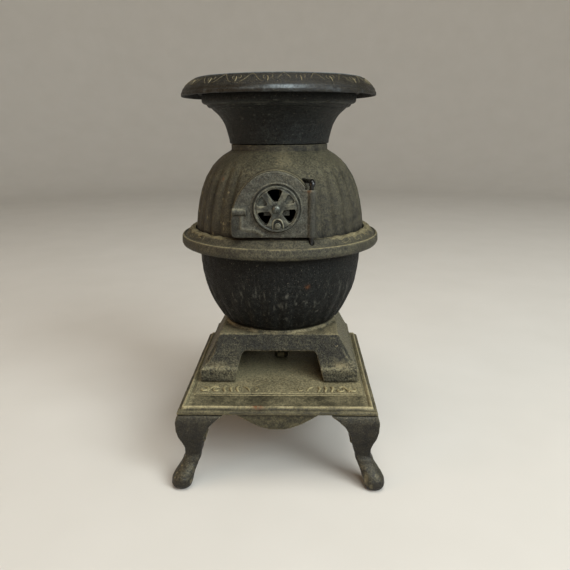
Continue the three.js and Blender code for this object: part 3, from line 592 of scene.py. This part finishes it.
def stove_lid():
    high = span("lid")[1]
    piece = cast("stove_lid", "lid", "brim_iron", 0.42, 3, "lid")
    radius_of = lambda p: np.hypot(p[:, 0], p[:, 1])

    def true_circle(points):
        r = radius_of(points)
        share = ramp(r, high.x - 1.2, high.x - 0.5)
        wanted = high.x - 0.1
        return points * np.stack([1 + share * (wanted / np.maximum(r, 1) - 1)] * 2
                                 + [np.ones(len(points))], 1)

    points, _ = points_of(piece.data)
    move_points(piece.data, true_circle(points))
    ring = lambda p, at: np.exp(-((radius_of(p) - at) / 0.5) ** 2) * ramp(p[:, 2], high.z - 1, high.z - 0.4)
    displace(piece, lambda p, n: -0.3 * ring(p, 31) - 0.3 * ring(p, 14) + lumps(p, 31, 0.05, 0.02) - 0.08)
    paint(piece, wear=lambda p, n: 0.3 * ring(p, 32.2) + 0.25 * ring(p, 15.2),
          soot=lambda p, n: ramp(-n[:, 2], 0.2, 0.7))
    finish_with(piece, BRIM_IRON)


brim()
brim_vines()
collar()
stove_lid()


# ---------------------------------------------------------------- drum

FLUTE = math.radians(10)


def drum_surface(angle, height):
    """Radius of the drum's outside with its flutes, and the depth of the flutes from 0 to 1."""
    foot = span("drum")[0].z
    heights = foot + np.array([0, 3.6, 10.4, 16.9, 23, 29.4, 35.4, 38.5, 40.9, 42.6, 43.6, 46.6])
    radii = [46.5, 46.3, 45.6, 44.4, 42.8, 40.3, 36.5, 33.4, 30.4, 27.6, 26, 26]
    radius = np.interp(height, heights, radii)
    fluted = ramp(np.abs(angle), math.radians(26), math.radians(31))
    fluted = fluted * (1 - ramp(height, foot + 30, foot + 40)) * ramp(height, foot, foot + 1.5)
    groove = (0.5 + 0.5 * np.cos(2 * math.pi * angle / FLUTE)) ** 1.6
    return radius - 0.75 * fluted * groove, fluted * groove


def drum():
    piece = cast("drum_shell", "drum", "dusty_iron", 0.48, 4)
    points, _ = points_of(piece.data)
    angle = np.arctan2(points[:, 0], -points[:, 1])
    radius = np.hypot(points[:, 0], points[:, 1])
    wanted, _ = drum_surface(angle, points[:, 2])
    near = 1 - ramp(np.abs(radius - wanted), 0.45, 0.9)
    scale = 1 + near * (wanted / np.maximum(radius, 1) - 1)
    points[:, 0] *= scale
    points[:, 1] *= scale
    move_points(piece.data, points)
    displace(piece, lambda p, n: lumps(p, 41, 0.1, 0.03))

    def groove(p, n):
        a = np.arctan2(p[:, 0], -p[:, 1])
        r = np.hypot(p[:, 0], p[:, 1])
        outside = ramp(r, 24, 25.5) * (n[:, 0] * p[:, 0] + n[:, 1] * p[:, 1] > 0)
        return outside * drum_surface(a, p[:, 2])[1]

    # Painted shade: faces turned inwards, inside the drum, are darkened.
    inward = lambda p, n: ramp(-(n[:, 0] * p[:, 0] + n[:, 1] * p[:, 1]) / 40, 0.2, 0.6)
    rust_spot = (-27.7, -28.8, 151)
    painted_highlight_at = (3, 160)
    paint(
        piece,
        # Painted shade in the flute grooves and inside the drum, plus random sooty patches.
        soot=lambda p, n: 0.3 * groove(p, n) + 0.9 * inward(p, n)
        + 0.3 * ramp(noise(p * (1, 1, 0.4), 5, 44), 0, 0.8),
        dust=lambda p, n: 0.35 * ramp(p[:, 2], 150, 160) * (1 - ramp(p[:, 2], 162, 164)),
        rust=lambda p, n: np.exp(-(np.linalg.norm(p - rust_spot, axis=1) / 0.8) ** 2),
        # Painted highlight: a pale patch high on the front of the drum.
        wear=lambda p, n: 0.3 * (p[:, 1] < 0)
        * np.exp(-(np.linalg.norm(p[:, ::2] - painted_highlight_at, axis=1) / 4) ** 2),
    )
    finish_with(piece, DRUM_IRON)


drum()


# ---------------------------------------------------------------- skirt ring

def scallop(angle):
    """The wavy height of the ring's inner lip, from 0 to 1, absent behind the door."""
    wave = np.abs(np.sin(angle * 12)) ** 1.4
    return wave * ramp(np.abs(angle), math.radians(32), math.radians(38))


def skirt_ring():
    low, high = span("skirt_ring")
    edge, foot, top = high.x, low.z, high.z
    seat = span("fire_pot")[1].z + 0.3
    rest = span("drum")[0].z - 0.3
    bead = foot + 6.2
    profile = [
        (42.6, seat), (45.3, seat), (45.3, foot), (edge - 2.3, foot + 0.1), (edge - 0.7, foot + 0.9),
        (edge, foot + 2.4), (edge - 0.2, bead - 0.8), (edge - 0.6, bead), (edge - 1.3, bead + 0.1),
        (edge - 1.7, bead - 0.4), (edge - 2.4, bead - 0.1), (50.4, top - 1.8), (49.3, top - 0.5),
        (48.6, top - 0.15), (46.9, top - 0.15), (46.9, rest), (42.6, rest),
    ]

    def lip(angle, height, radius):
        share = ramp(radius, 46, 47) * (1 - ramp(radius, 49, 50)) * ramp(height, top - 0.6, top - 0.3)
        return share * (0.1 - 0.9 * (1 - scallop(angle)))

    piece = turned("ring", profile, 720, 0.55, 0.4, lip)
    pin_x, pin_y = hinge_line()
    carved(piece, (pin_x, pin_y, span("hinge_pin")[0].z - 0.3), (pin_x, pin_y, top + 3), 1.35)
    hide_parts("skirt_ring")
    displace(piece, lambda p, n: lumps(p, 51, 0.08, 0.03))
    radius = lambda p: np.hypot(p[:, 0], p[:, 1])
    angle = lambda p: np.arctan2(p[:, 0], -p[:, 1])
    on_bead = lambda p: np.exp(-((radius(p) - edge + 0.75) / 0.4) ** 2) * ramp(p[:, 2], bead - 0.5, bead)
    on_lip = lambda p: ramp(p[:, 2], top - 1.6, top - 1) * (1 - ramp(radius(p), 49.8, 50.4))
    paint(
        piece,
        wear=lambda p, n: 0.85 * on_bead(p) * ramp(noise(p, 5, 52), -0.9, 0.1)
        + 0.8 * on_lip(p) * ramp(np.abs(angle(p)), 0.5, 0.62),
        # Painted shade on what faces down; above the bead, a darker tone in random patches.
        soot=lambda p, n: 0.7 * ramp(-n[:, 2], 0.5, 0.9)
        + (0.12 + 0.3 * ramp(noise(p, 3, 54), 0.1, 0.8)) * ramp(p[:, 2], bead, bead + 0.5),
    )
    finish_with(piece, RING_IRON)


def ring_scrolls():
    """Worn curls and a scalloped edge on the ring's slope, absent behind the door."""
    high = span("skirt_ring")[1]
    edge, top = high.x, high.z

    def on_slope(line):
        angle = np.radians(line[:, 0])
        radius = np.interp(line[:, 1], [0, 1, 1.4], [edge - 2.6, 50.3, 49.2])
        height = np.interp(line[:, 1], [0, 1, 1.4], [top - 4, top - 1.9, top - 0.4])
        return np.stack([radius * np.sin(angle), -radius * np.cos(angle), height], 1)

    strokes = []
    scrolls, first, apart = 23, 41, 12.1
    for i in range(scrolls):
        at = first + apart * i
        strokes += [
            (eased([(at - 6, 1.2), (at - 4.6, 1.35), (at - 3, 1.0), (at - 0.5, 1.05), (at + 1.5, 1.35),
                    (at + 6, 1.2)]), 0.42),
            (curl(at, 0.6, 3.2, 0.4, 30 + 75 * i, 300 if i % 2 else -300), 0.3),
            (eased([(at + 3.6, 0.2), (at + 4.6, 0.7), (at + 4.1, 1.35)], 2), 0.32),
        ]
    relief("ring_scrolls", strokes, on_slope, RING_RELIEF)


skirt_ring()
ring_scrolls()


# ---------------------------------------------------------------- fire pot

def fire_pot():
    low, high = span("fire_pot")
    foot, top = low.z, high.z
    profile = [
        (17, foot), (31, foot), (31.7, foot + 0.6), (33, foot + 2.4), (35.2, foot + 5.7),
        (37.7, foot + 10.1), (40.3, foot + 15.6), (42.4, foot + 21.3), (43.8, foot + 27.3),
        (44.6, foot + 33.1), (44.9, foot + 39.1), (44.9, top), (41.9, top), (41.9, foot + 39.1),
        (41.6, foot + 33.5), (40.8, foot + 28.1), (39.5, foot + 22.7), (37.6, foot + 17.3),
        (35.2, foot + 12.1), (32.9, foot + 7.9), (30.6, foot + 4.5), (28, foot + 3), (17, foot + 3),
    ]

    def rib(angle, height, radius):
        across = 0.5 - 0.5 * np.cos(angle * 28)
        tongue = across ** 0.8 * (1 - ramp(height, foot + 15, foot + 28))
        outside = ramp(radius - np.interp(height, [foot, foot + 10, top], [26, 34, 43]), 0, 1)
        return 0.7 * tongue * outside * ramp(height, foot + 1, foot + 3)

    piece = turned("pot", profile, 640, 0.62, 0.4, rib)
    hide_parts("fire_pot")
    displace(piece, lambda p, n: lumps(p, 61, 0.14, 0.06))
    spot = np.array([15, -41, 97.8])
    outward = lambda p, n: ramp(n[:, 0] * p[:, 0] + n[:, 1] * p[:, 1], 0, 8)
    paint(
        piece,
        rust=lambda p, n: 0.6 * np.exp(-(np.linalg.norm(p - spot, axis=1) / 1.2) ** 2)
        * ramp(noise(p, 1, 64), -0.9, 0.1),
        # Painted shade: inward faces and the lower part of the pot are darkened.
        soot=lambda p, n: 0.7 * (1 - outward(p, n)) + 0.35 * (1 - ramp(p[:, 2], foot + 4, foot + 24)),
        wear=lambda p, n: 0.45 * outward(p, n) * ramp(noise(p * (1, 1, 0.18), 0.9, 63), 0.35, 0.8)
        * (1 - ramp(p[:, 2], foot + 24, foot + 30)),
    )
    finish_with(piece, POT_IRON)


fire_pot()


# ---------------------------------------------------------------- ash stand, plate and legs

def ash_stand():
    piece = cast("stand", "ash_stand", "base_iron", 0.52, 4)
    low, high = span("ash_stand")
    front = lambda p, n: ramp(-n[:, 1], 0.3, 0.8)
    displace(piece, lambda p, n: lumps(p, 71, 0.12, 0.05) + 0.1 * front(p, n) * noise(p, 0.8, 73))
    toe_x, toe_z = 32, 52.3
    toe = lambda p: np.exp(-((p[:, 2] - toe_z) / 1.6) ** 2 - ((np.abs(p[:, 0]) - toe_x) / 6) ** 2)
    inside = lambda p, n: (ramp(np.abs(p[:, 0]), 10, 12) * ramp(-n[:, 0] * np.sign(p[:, 0]), 0.3, 0.8)
                           * (p[:, 1] > low.y + 5))
    paint(
        piece,
        wear=lambda p, n: 0.75 * ramp(p[:, 2], high.z - 2.2, high.z - 1.4) * ramp(noise(p, 4, 72), -0.6, 0.3)
        + 0.55 * toe(p) * front(p, n) * ramp(noise(p, 5, 74), -0.9, 0.1),
        # Painted light: the side faces are made paler; on the front, paler low down and darker higher up.
        dust=lambda p, n: 0.55 * ramp(np.abs(n[:, 0]), 0.7, 0.95) * (1 - inside(p, n))
        + front(p, n) * (0.45 * (1 - ramp(p[:, 2], 50.5, 52.5)) - 0.3 * ramp(p[:, 2], 52, 58)),
        # Painted shade on the inner faces of the arch.
        soot=lambda p, n: 0.5 * inside(p, n),
    )
    finish_with(piece, STAND_IRON)


def stand_leaves():
    """Small worn leaves at the top corners of the stand's front and back."""
    low, high = span("ash_stand")
    shoe = low.z + 8

    def on_face(side):
        def surface(line):
            rise = np.clip((line[:, 1] - shoe) / (high.z - 1.6 - shoe), 0, 1)
            depth = high.y - 1.5 - (high.y - 1.3 - 31.8) * rise
            return np.stack([line[:, 0], side * depth, line[:, 1]], 1)
        return surface

    strokes = []
    for hand in (-1, 1):
        for i, (u, v) in enumerate([(28.5, 66.2), (24.6, 66.8), (31, 63)]):
            strokes.append((curl(hand * u, v, 1.6 - 0.2 * i, 1, 60 * i, hand * 260), 0.28))
        strokes.append((eased([(hand * 31, 61.5), (hand * 29.6, 63.8), (hand * 24, 65.4)]), 0.2))
    for name, side in (("front", -1), ("back", 1)):
        relief("stand_leaves_" + name, strokes, on_face(side), STAND_IRON)


def base_plate():
    piece = cast("hearth_plate", "base_plate", "base_iron", 0.56, 2)
    low, high = span("base_plate")
    top = high.z - 0.6
    field = 5.9
    field_front = low.y + 18.1

    def border(p):
        """1 on the lowered band between the raised field and the outer bead."""
        inside = np.minimum(np.minimum(p[:, 0] - low.x, high.x - p[:, 0]) - field,
                            np.minimum(p[:, 1] - field_front, high.y - p[:, 1] - field))
        return (1 - ramp(inside, -0.5, 0.1)) * ramp(p[:, 2], top - 1.1, top - 0.7)

    def scroll_bed(p):
        """1 on the strip of the field that carries the scrolls."""
        behind = p[:, 1] - field_front
        return (ramp(behind, 0, 1) * (1 - ramp(behind, 8, 10))
                * ramp(np.abs(p[:, 0]), 6, 10) * (np.abs(p[:, 0]) < high.x - field))

    def under_arch(p):
        """1 on the floor of the stand's arch."""
        return (1 - ramp(np.abs(p[:, 0]), 18, 22)) * ramp(p[:, 1], -36, -30) * ramp(p[:, 2], top - 0.5, top)

    displace(piece, lambda p, n: lumps(p, 81, 0.1, 0.03) - 0.35 * border(p) * ramp(n[:, 2], 0.6, 0.9)
             * (p[:, 2] < top + 0.2))
    inset = lambda p: np.minimum(np.minimum(p[:, 0] - low.x, high.x - p[:, 0]),
                                 np.minimum(p[:, 1] - low.y, high.y - p[:, 1]))
    flank = lambda p: 1 - ramp(inset(p), 1.9, 2.3)
    spot = np.array([-9.5, low.y + 3.2, high.z])
    paint(
        piece,
        wear=lambda p, n: 0.85 * np.exp(-((inset(p) - 2.8) / 0.7) ** 2) * ramp(noise(p, 6, 83), -1.1, 0.2)
        * ramp(p[:, 2], high.z - 1.2, high.z - 0.4),
        rust=lambda p, n: 1.5 * np.exp(-(np.linalg.norm((p - spot) * (0.6, 1, 1), axis=1) / 1.4) ** 2),
        # Painted shade: the underside, the border band, the outer flank and the strip behind the scrolls are
        # darkened.
        soot=lambda p, n: 0.5 * ramp(-n[:, 2], 0.6, 0.9) + 0.16 * scroll_bed(p) + 0.12 * border(p)
        + 0.3 * flank(p),
        # Painted light on the floor under the arch; painted shade, as less dusty cover, on the flank and the
        # border band, most on its front and back.
        dust=lambda p, n: 0.3 * under_arch(p) - 0.7 * flank(p) - border(p)
        * (0.2 + 0.55 * (1 - ramp(np.abs(p[:, 0]), high.x - field - 1, high.x - field))),
    )
    finish_with(piece, BASE_IRON)

    flat = lambda line: np.stack([line[:, 0], line[:, 1], np.full(len(line), top)], 1)
    left, right = low.x + field, high.x - field
    back = high.y - field
    strokes = []
    for grow, width in ((0, 0.3), (2, 0.28)):
        corners = [(left - grow, field_front - grow), (right + grow, field_front - grow),
                   (right + grow, back + grow), (left - grow, back + grow)]
        for i, start in enumerate(corners):
            end = corners[(i + 1) % 4]
            strokes.append((np.linspace(start, end, 60), width))
    relief("plate_ridges", strokes, lambda line: flat(line) - (0, 0, 0.12), BASE_IRON)

    y = field_front + 4.6
    scrolls = []
    for hand in (-1, 1):
        leaf = lambda u, lean: eased([(hand * u, y + 3.2), (hand * (u + lean), y + 1), (hand * u, y - 3)], 2)
        scrolls += [
            (curl(hand * 39.2, y, 2.9, 3.2, 100, hand * 340), 0.85),
            (eased([(hand * 37, y - 2.6), (hand * 34.6, y + 3.4), (hand * 31.6, y + 2.2)]), 0.85),
            (curl(hand * 32.2, y - 0.6, 2.4, 2.8, 60, hand * -330), 0.8),
            (leaf(27.6, 1.4), 1), (leaf(24.2, 1.2), 0.95), (leaf(20.8, 1.3), 0.9),
            (eased([(hand * 18.6, y + 3), (hand * 16.2, y + 1.5), (hand * 15, y - 2)]), 0.8),
            (curl(hand * 11.8, y, 1.8, 2.2, 120, hand * 300), 0.4),
        ]
    relief("plate_scrolls", scrolls, flat, RELIEF)


def leg(corner):
    node = "leg_" + corner
    piece = cast(node + "_casting", node, "base_iron", 0.34, 14)
    points, _ = points_of(piece.data)
    z = points[:, 2]
    slices = np.arange(0.5, 30, 0.75)
    middle = []
    for at in slices:
        level = points[np.abs(z - at) < 0.6][:, :2]
        middle.append((level.min(0) + level.max(0)) / 2)
    centre = np.stack([np.interp(z, slices, np.array(middle)[:, axis]) for axis in (0, 1)], 1)
    offset = points[:, :2] - centre
    square = np.abs(offset).max(1) / np.maximum(np.linalg.norm(offset, axis=1), 1e-6)
    roundness = 0.85 - 0.5 * ramp(z, 9, 16) - 0.35 * ramp(z, 18, 26)
    points[:, :2] = centre + offset * (square ** roundness)[:, None]
    move_points(piece.data, points)
    low, high = span(node)
    inward = -np.sign((low + high)[:2])
    band = lambda p, at, width: np.exp(-((p[:, 2] - at) / width) ** 2)
    bracket = lambda p, n: ramp(n[:, 0] * inward[0] + 0.3 * n[:, 1] * inward[1], 0.4, 0.9)
    displace(piece, lambda p, n: lumps(p, 91 + len(corner), 0.12, 0.05)
             + bracket(p, n) * (0.8 * band(p, 25.5, 1) - 0.4 * band(p, 28.5, 1.2))
             + 0.2 * band(p, 14.2, 1.1) - 0.25 * band(p, 17, 1.2))
    paint(
        piece,
        wear=lambda p, n: 0.3 * ramp(noise(p, 2.5, 95), 0.2, 0.8) * (1 - ramp(p[:, 2], 6, 16)),
        # A paler band on the feet from 3 to 16 mm up; painted shade at the bottom of the feet by the floor,
        # and a darker band from 12 to 34 mm up.
        dust=lambda p, n: 0.2 * ramp(p[:, 2], 3, 8) * (1 - ramp(p[:, 2], 9, 16)),
        soot=lambda p, n: 0.3 * ramp(p[:, 2], 12, 18) * (1 - ramp(p[:, 2], 26, 34))
        + 0.3 * (1 - ramp(p[:, 2], 1, 5)),
    )
    finish_with(piece, LEG_IRON)


ash_stand()
stand_leaves()
base_plate()
for corner_name in ("front_left", "front_right", "rear_left", "rear_right"):
    leg(corner_name)


# ---------------------------------------------------------------- door, wheel and pin

def feed_door():
    piece = cast("door_casting", "feed_door", "door_iron", 0.21, 4, "door")
    low, high = span("feed_door")
    centre = wheel_centre()
    pin_x, pin_y = hinge_line()
    face = low.y + 1.4
    flat = lambda p: p[:, ::2]
    from_wheel = lambda p: np.linalg.norm(flat(p) - centre[::2], axis=1)
    in_front = lambda p, n: ramp(-n[:, 1], 0.4, 0.8) * (p[:, 1] < face + 1)
    latch_tail = eased([(-16.9, 134.8), (-17, 131.5), (-17.2, 128.6), (-14, 128.5), (-10.5, 128.3),
                        (-7, 126)])
    tail = lambda p: np.exp(-(off_line(flat(p), latch_tail) / 0.8) ** 2)
    collar_ring = lambda p: np.exp(-((from_wheel(p) - 11.9) / 0.35) ** 2)
    displace(piece, lambda p, n: lumps(p, 101, 0.07, 0.03) + in_front(p, n) * (
        0.35 * tail(p) + 0.22 * collar_ring(p)))
    outside_tail = lambda p: np.maximum(ramp(-p[:, 0], 17.6, 18.2) * (1 - ramp(p[:, 2], 133, 135)),
                                        ramp(-p[:, 0], 7, 9) * (1 - ramp(p[:, 2], 126.3, 127.4)))
    top_of_knuckle = np.array([pin_x - 1, pin_y - 1.6, high.z - 9])
    on_knuckle = lambda p: ramp(p[:, 0], pin_x - 1.4, pin_x - 0.6) * ramp(high.z - p[:, 2], 9.5, 13)
    lug = lambda p: ramp(-p[:, 0], 15.5, 16.5) * ramp(-p[:, 1], 49, 49.6)
    left_side = lambda p: ramp(-p[:, 0], 13, 21)
    paint(
        piece,
        # Painted highlights on the latch tail ridge, the upper half of the ring round the wheel and the top
        # of the latch lug.
        wear=lambda p, n: in_front(p, n) * (0.22 * tail(p) + 0.35 * collar_ring(p)
                                            * ramp(noise(p, 3, 102), -0.5, 0.4) * ramp(p[:, 2], 130, 148))
        + 0.7 * lug(p) * ramp(n[:, 2], 0.4, 0.9),
        rust=lambda p, n: 0.6 * np.exp(-(np.linalg.norm(p - top_of_knuckle, axis=1) / 1.1) ** 2),
        # Painted shade on faces turned away, on what faces down, in the dark ring round the wheel, outside
        # the latch tail, on the left of the door and on the hinge knuckle.
        soot=lambda p, n: 0.6 * ramp(n[:, 1], 0.3, 0.8) + 0.5 * ramp(-n[:, 2], 0.3, 0.8)
        + 0.3 * in_front(p, n) * np.exp(-((from_wheel(p) - 11.2) / 0.35) ** 2)
        + in_front(p, n) * (0.4 * outside_tail(p) + 0.15 * left_side(p)) + 0.4 * on_knuckle(p),
    )
    finish_with(piece, DOOR_IRON)


def draft_wheel():
    piece = cast("wheel_casting", "draft_wheel", "door_iron", 0.13, 5, "draft")
    low, high = span("draft_wheel")
    centre = wheel_centre()
    rim = high.x
    face = low.y + 2.1
    from_centre = lambda p: np.linalg.norm(p[:, ::2] - centre[::2], axis=1)
    groove = lambda p: np.exp(-((from_centre(p) - rim + 1.05) / 0.22) ** 2)
    front = lambda p, n: ramp(-n[:, 1], 0.5, 0.9) * (p[:, 1] < face + 0.4)
    displace(piece, lambda p, n: lumps(p, 111, 0.04, 0.02) - 0.22 * front(p, n) * groove(p))
    turned_by = math.radians(5)
    blind = []
    for angle in (math.radians(18), math.radians(166)):
        spot = np.array([math.cos(angle + turned_by), 0, math.sin(angle + turned_by)])
        blind.append(centre + rim * 0.7 * spot)

    def painted_highlight_spots(p):
        total = np.zeros(len(p))
        for spot in blind:
            near = np.linalg.norm((p - spot)[:, ::2] * (0.6, 1.2), axis=1)
            total += np.exp(-(near / 0.9) ** 2)
        return total

    paint(
        piece,
        # Painted highlights on the two blind sectors, plus random pale scuffs on the front.
        wear=lambda p, n: 0.9 * painted_highlight_spots(p) * ramp(-n[:, 1], 0.3, 0.8)
        + 0.25 * front(p, n) * ramp(noise(p, 2, 112), 0, 0.7),
        # Painted shade in the groove near the rim and on faces turned away.
        soot=lambda p, n: 0.55 * groove(p) * front(p, n) + 0.5 * ramp(n[:, 1], 0.3, 0.8),
    )
    finish_with(piece, WHEEL_IRON)

    def on_wheel(line):
        depth = np.full(len(line), face - 0.05)
        return np.stack([line[:, 0] + centre[0], depth, line[:, 1] + centre[2]], 1)

    thumb = eased([(-2.5, -9.4), (-2.4, -6.6), (-1.3, -4.8), (1.3, -4.8), (2.4, -6.6), (2.5, -9.4)])
    cosine, sine = math.cos(turned_by), math.sin(turned_by)
    thumb = thumb @ np.array([[cosine, sine], [-sine, cosine]])
    relief("thumb_tab", [(thumb, 0.5)], on_wheel, WHEEL_IRON, "draft")


def hinge_pin():
    low, high = span("hinge_pin")
    wire = WIRE_RADIUS
    x, y = hinge_line()
    top = high.z - wire
    tip = np.array([low.x + 0.4, high.y - 0.3, top])
    bend = np.array([x + 0.8, y, top])
    towards = (tip - bend) / np.linalg.norm(tip - bend)
    reach = 2.4
    path = [tip + (bend - tip) * t for t in np.linspace(0, 0.75, 10)]
    start, end = bend + towards * reach, np.array([x, y, top - reach - 0.9])
    for t in np.linspace(0, 1, 14):
        path.append(start * (1 - t) ** 2 + bend * 2 * t * (1 - t) + end * t * t)
    path += [np.array([x, y, z]) for z in np.linspace(top - reach - 1.6, low.z, 40)]
    from_bend = np.linalg.norm(np.array(path) - bend, axis=1)
    radii = wire + 0.5 * (1 - ramp(from_bend, 1.2, 3))
    piece = tubes("bent_wire", [(path, radii)], sides=24)
    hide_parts("hinge_pin")
    finish_with(piece, WIRE)


feed_door()
draft_wheel()
hinge_pin()


# ---------------------------------------------------------------- pieces kept from CAD

def small_castings():
    for name, node, slot, finish in (("flue_casting", "flue_collar", "dusty_iron", DRUM_IRON),
                                     ("grate_casting", "fire_grate", "black_iron", POT_IRON)):
        piece = cast(name, node, slot, 0.3, 4)
        displace(piece, lambda p, n: lumps(p, 121, 0.06, 0.03))
        finish_with(piece, finish)


def kept_pieces():
    """Small fasteners keep their CAD shape, with a small bevel."""
    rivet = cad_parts["draft_rivet"]
    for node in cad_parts.values():
        if node.hide_render:
            continue
        bevel = node.modifiers.new("edge", "BEVEL")
        bevel.width = 0.18 * MM
        bevel.segments = 2
        bevel.limit_method = "ANGLE"
        bevel.angle_limit = math.radians(35)
        node.data.materials.clear()
        node.data.materials.append(RIVET_IRON if node == rivet else BOLT_STEEL)


small_castings()
kept_pieces()


# ---------------------------------------------------------------- floor, light and camera

def backdrop():
    """A pale round floor that curves up into a wall on every side."""
    wall, bend, top, around = 1.9, 0.6, 2.4, 96
    outline = [(0.6, 0.0)]
    for i in range(17):
        turn = math.pi / 2 * i / 16
        outline.append((wall - bend + bend * math.sin(turn), bend - bend * math.cos(turn)))
    outline.append((wall, top))
    vertices = [(0.0, 0.0, 0.0)]
    for radius, height in outline:
        for j in range(around):
            angle = 2 * math.pi * j / around
            vertices.append((radius * math.cos(angle), radius * math.sin(angle), height))
    faces = [(0, 1 + j, 1 + (j + 1) % around) for j in range(around)]
    for i in range(len(outline) - 1):
        low, high = 1 + i * around, 1 + (i + 1) * around
        for j in range(around):
            k = (j + 1) % around
            faces.append((low + j, high + j, high + k, low + k))
    mesh = bpy.data.meshes.new("backdrop")
    mesh.from_pydata(vertices, [], faces)
    mesh.polygons.foreach_set("use_smooth", [True] * len(mesh.polygons))
    floor = bpy.data.objects.new("backdrop", mesh)
    bpy.context.scene.collection.objects.link(floor)
    g = Graph("pale_floor")
    where = g.add("TexCoord").outputs["Object"]
    tone = g.mix(g.noise(where, 60, 2), linear("#cac5bc"), linear("#d2cdc5"))
    shader = g.add("BsdfPrincipled", {"Base Color": tone, "Roughness": 0.9})
    g.add("OutputMaterial", {"Surface": shader.outputs[0]})
    finish_with(floor, g.material)


def area_light(name, place, size, power, colour):
    """A soft square lamp aimed at the middle of the stove."""
    data = bpy.data.lights.new(name, "AREA")
    data.size = size
    data.energy = power
    data.color = colour
    lamp = bpy.data.objects.new(name, data)
    lamp.location = place
    aim = Vector((0, 0, 0.1)) - Vector(place)
    lamp.rotation_euler = aim.to_track_quat("-Z", "Y").to_euler()
    bpy.context.scene.collection.objects.link(lamp)


def lighting():
    area_light("window", (0.8, -0.8, 0.8), 0.7, 17, (0.88, 0.96, 1.0))
    area_light("front_window", (0.3, -1.2, 0.75), 0.4, 4, (0.85, 0.94, 1.0))
    area_light("overhead", (0.1, -0.25, 1.3), 0.8, 10, (1.0, 0.98, 0.92))
    area_light("fill", (-1.1, -0.6, 0.4), 0.8, 3, (1.0, 0.5, 0.16))
    world = bpy.data.worlds.new("studio")
    world.use_nodes = True
    background = world.node_tree.nodes["Background"]
    background.inputs["Color"].default_value = (0.8, 0.86, 0.95, 1)
    background.inputs["Strength"].default_value = 0.02
    bpy.context.scene.world = world
    bpy.context.scene.view_settings.view_transform = "Standard"


def camera():
    """Stands in front of the stove, a little to the right, and looks down at it."""
    data = bpy.data.cameras.new("camera")
    data.sensor_width = 36
    data.lens = 36.063
    data.clip_start = 0.01
    pitch, yaw, roll = math.radians(15.57), math.radians(-1.43), math.radians(-0.37)
    forward = Vector((math.sin(yaw) * math.cos(pitch), math.cos(yaw) * math.cos(pitch), -math.sin(pitch)))
    eye = bpy.data.objects.new("camera", data)
    turn = forward.to_track_quat("-Z", "Y").to_matrix().to_4x4()
    eye.matrix_world = (Matrix.Translation((0.0106, AXIS_Y - 0.320, 0.1765)) @ turn
                        @ Matrix.Rotation(roll, 4, "Z"))
    bpy.context.scene.collection.objects.link(eye)
    bpy.context.scene.camera = eye


backdrop()
lighting()
camera()
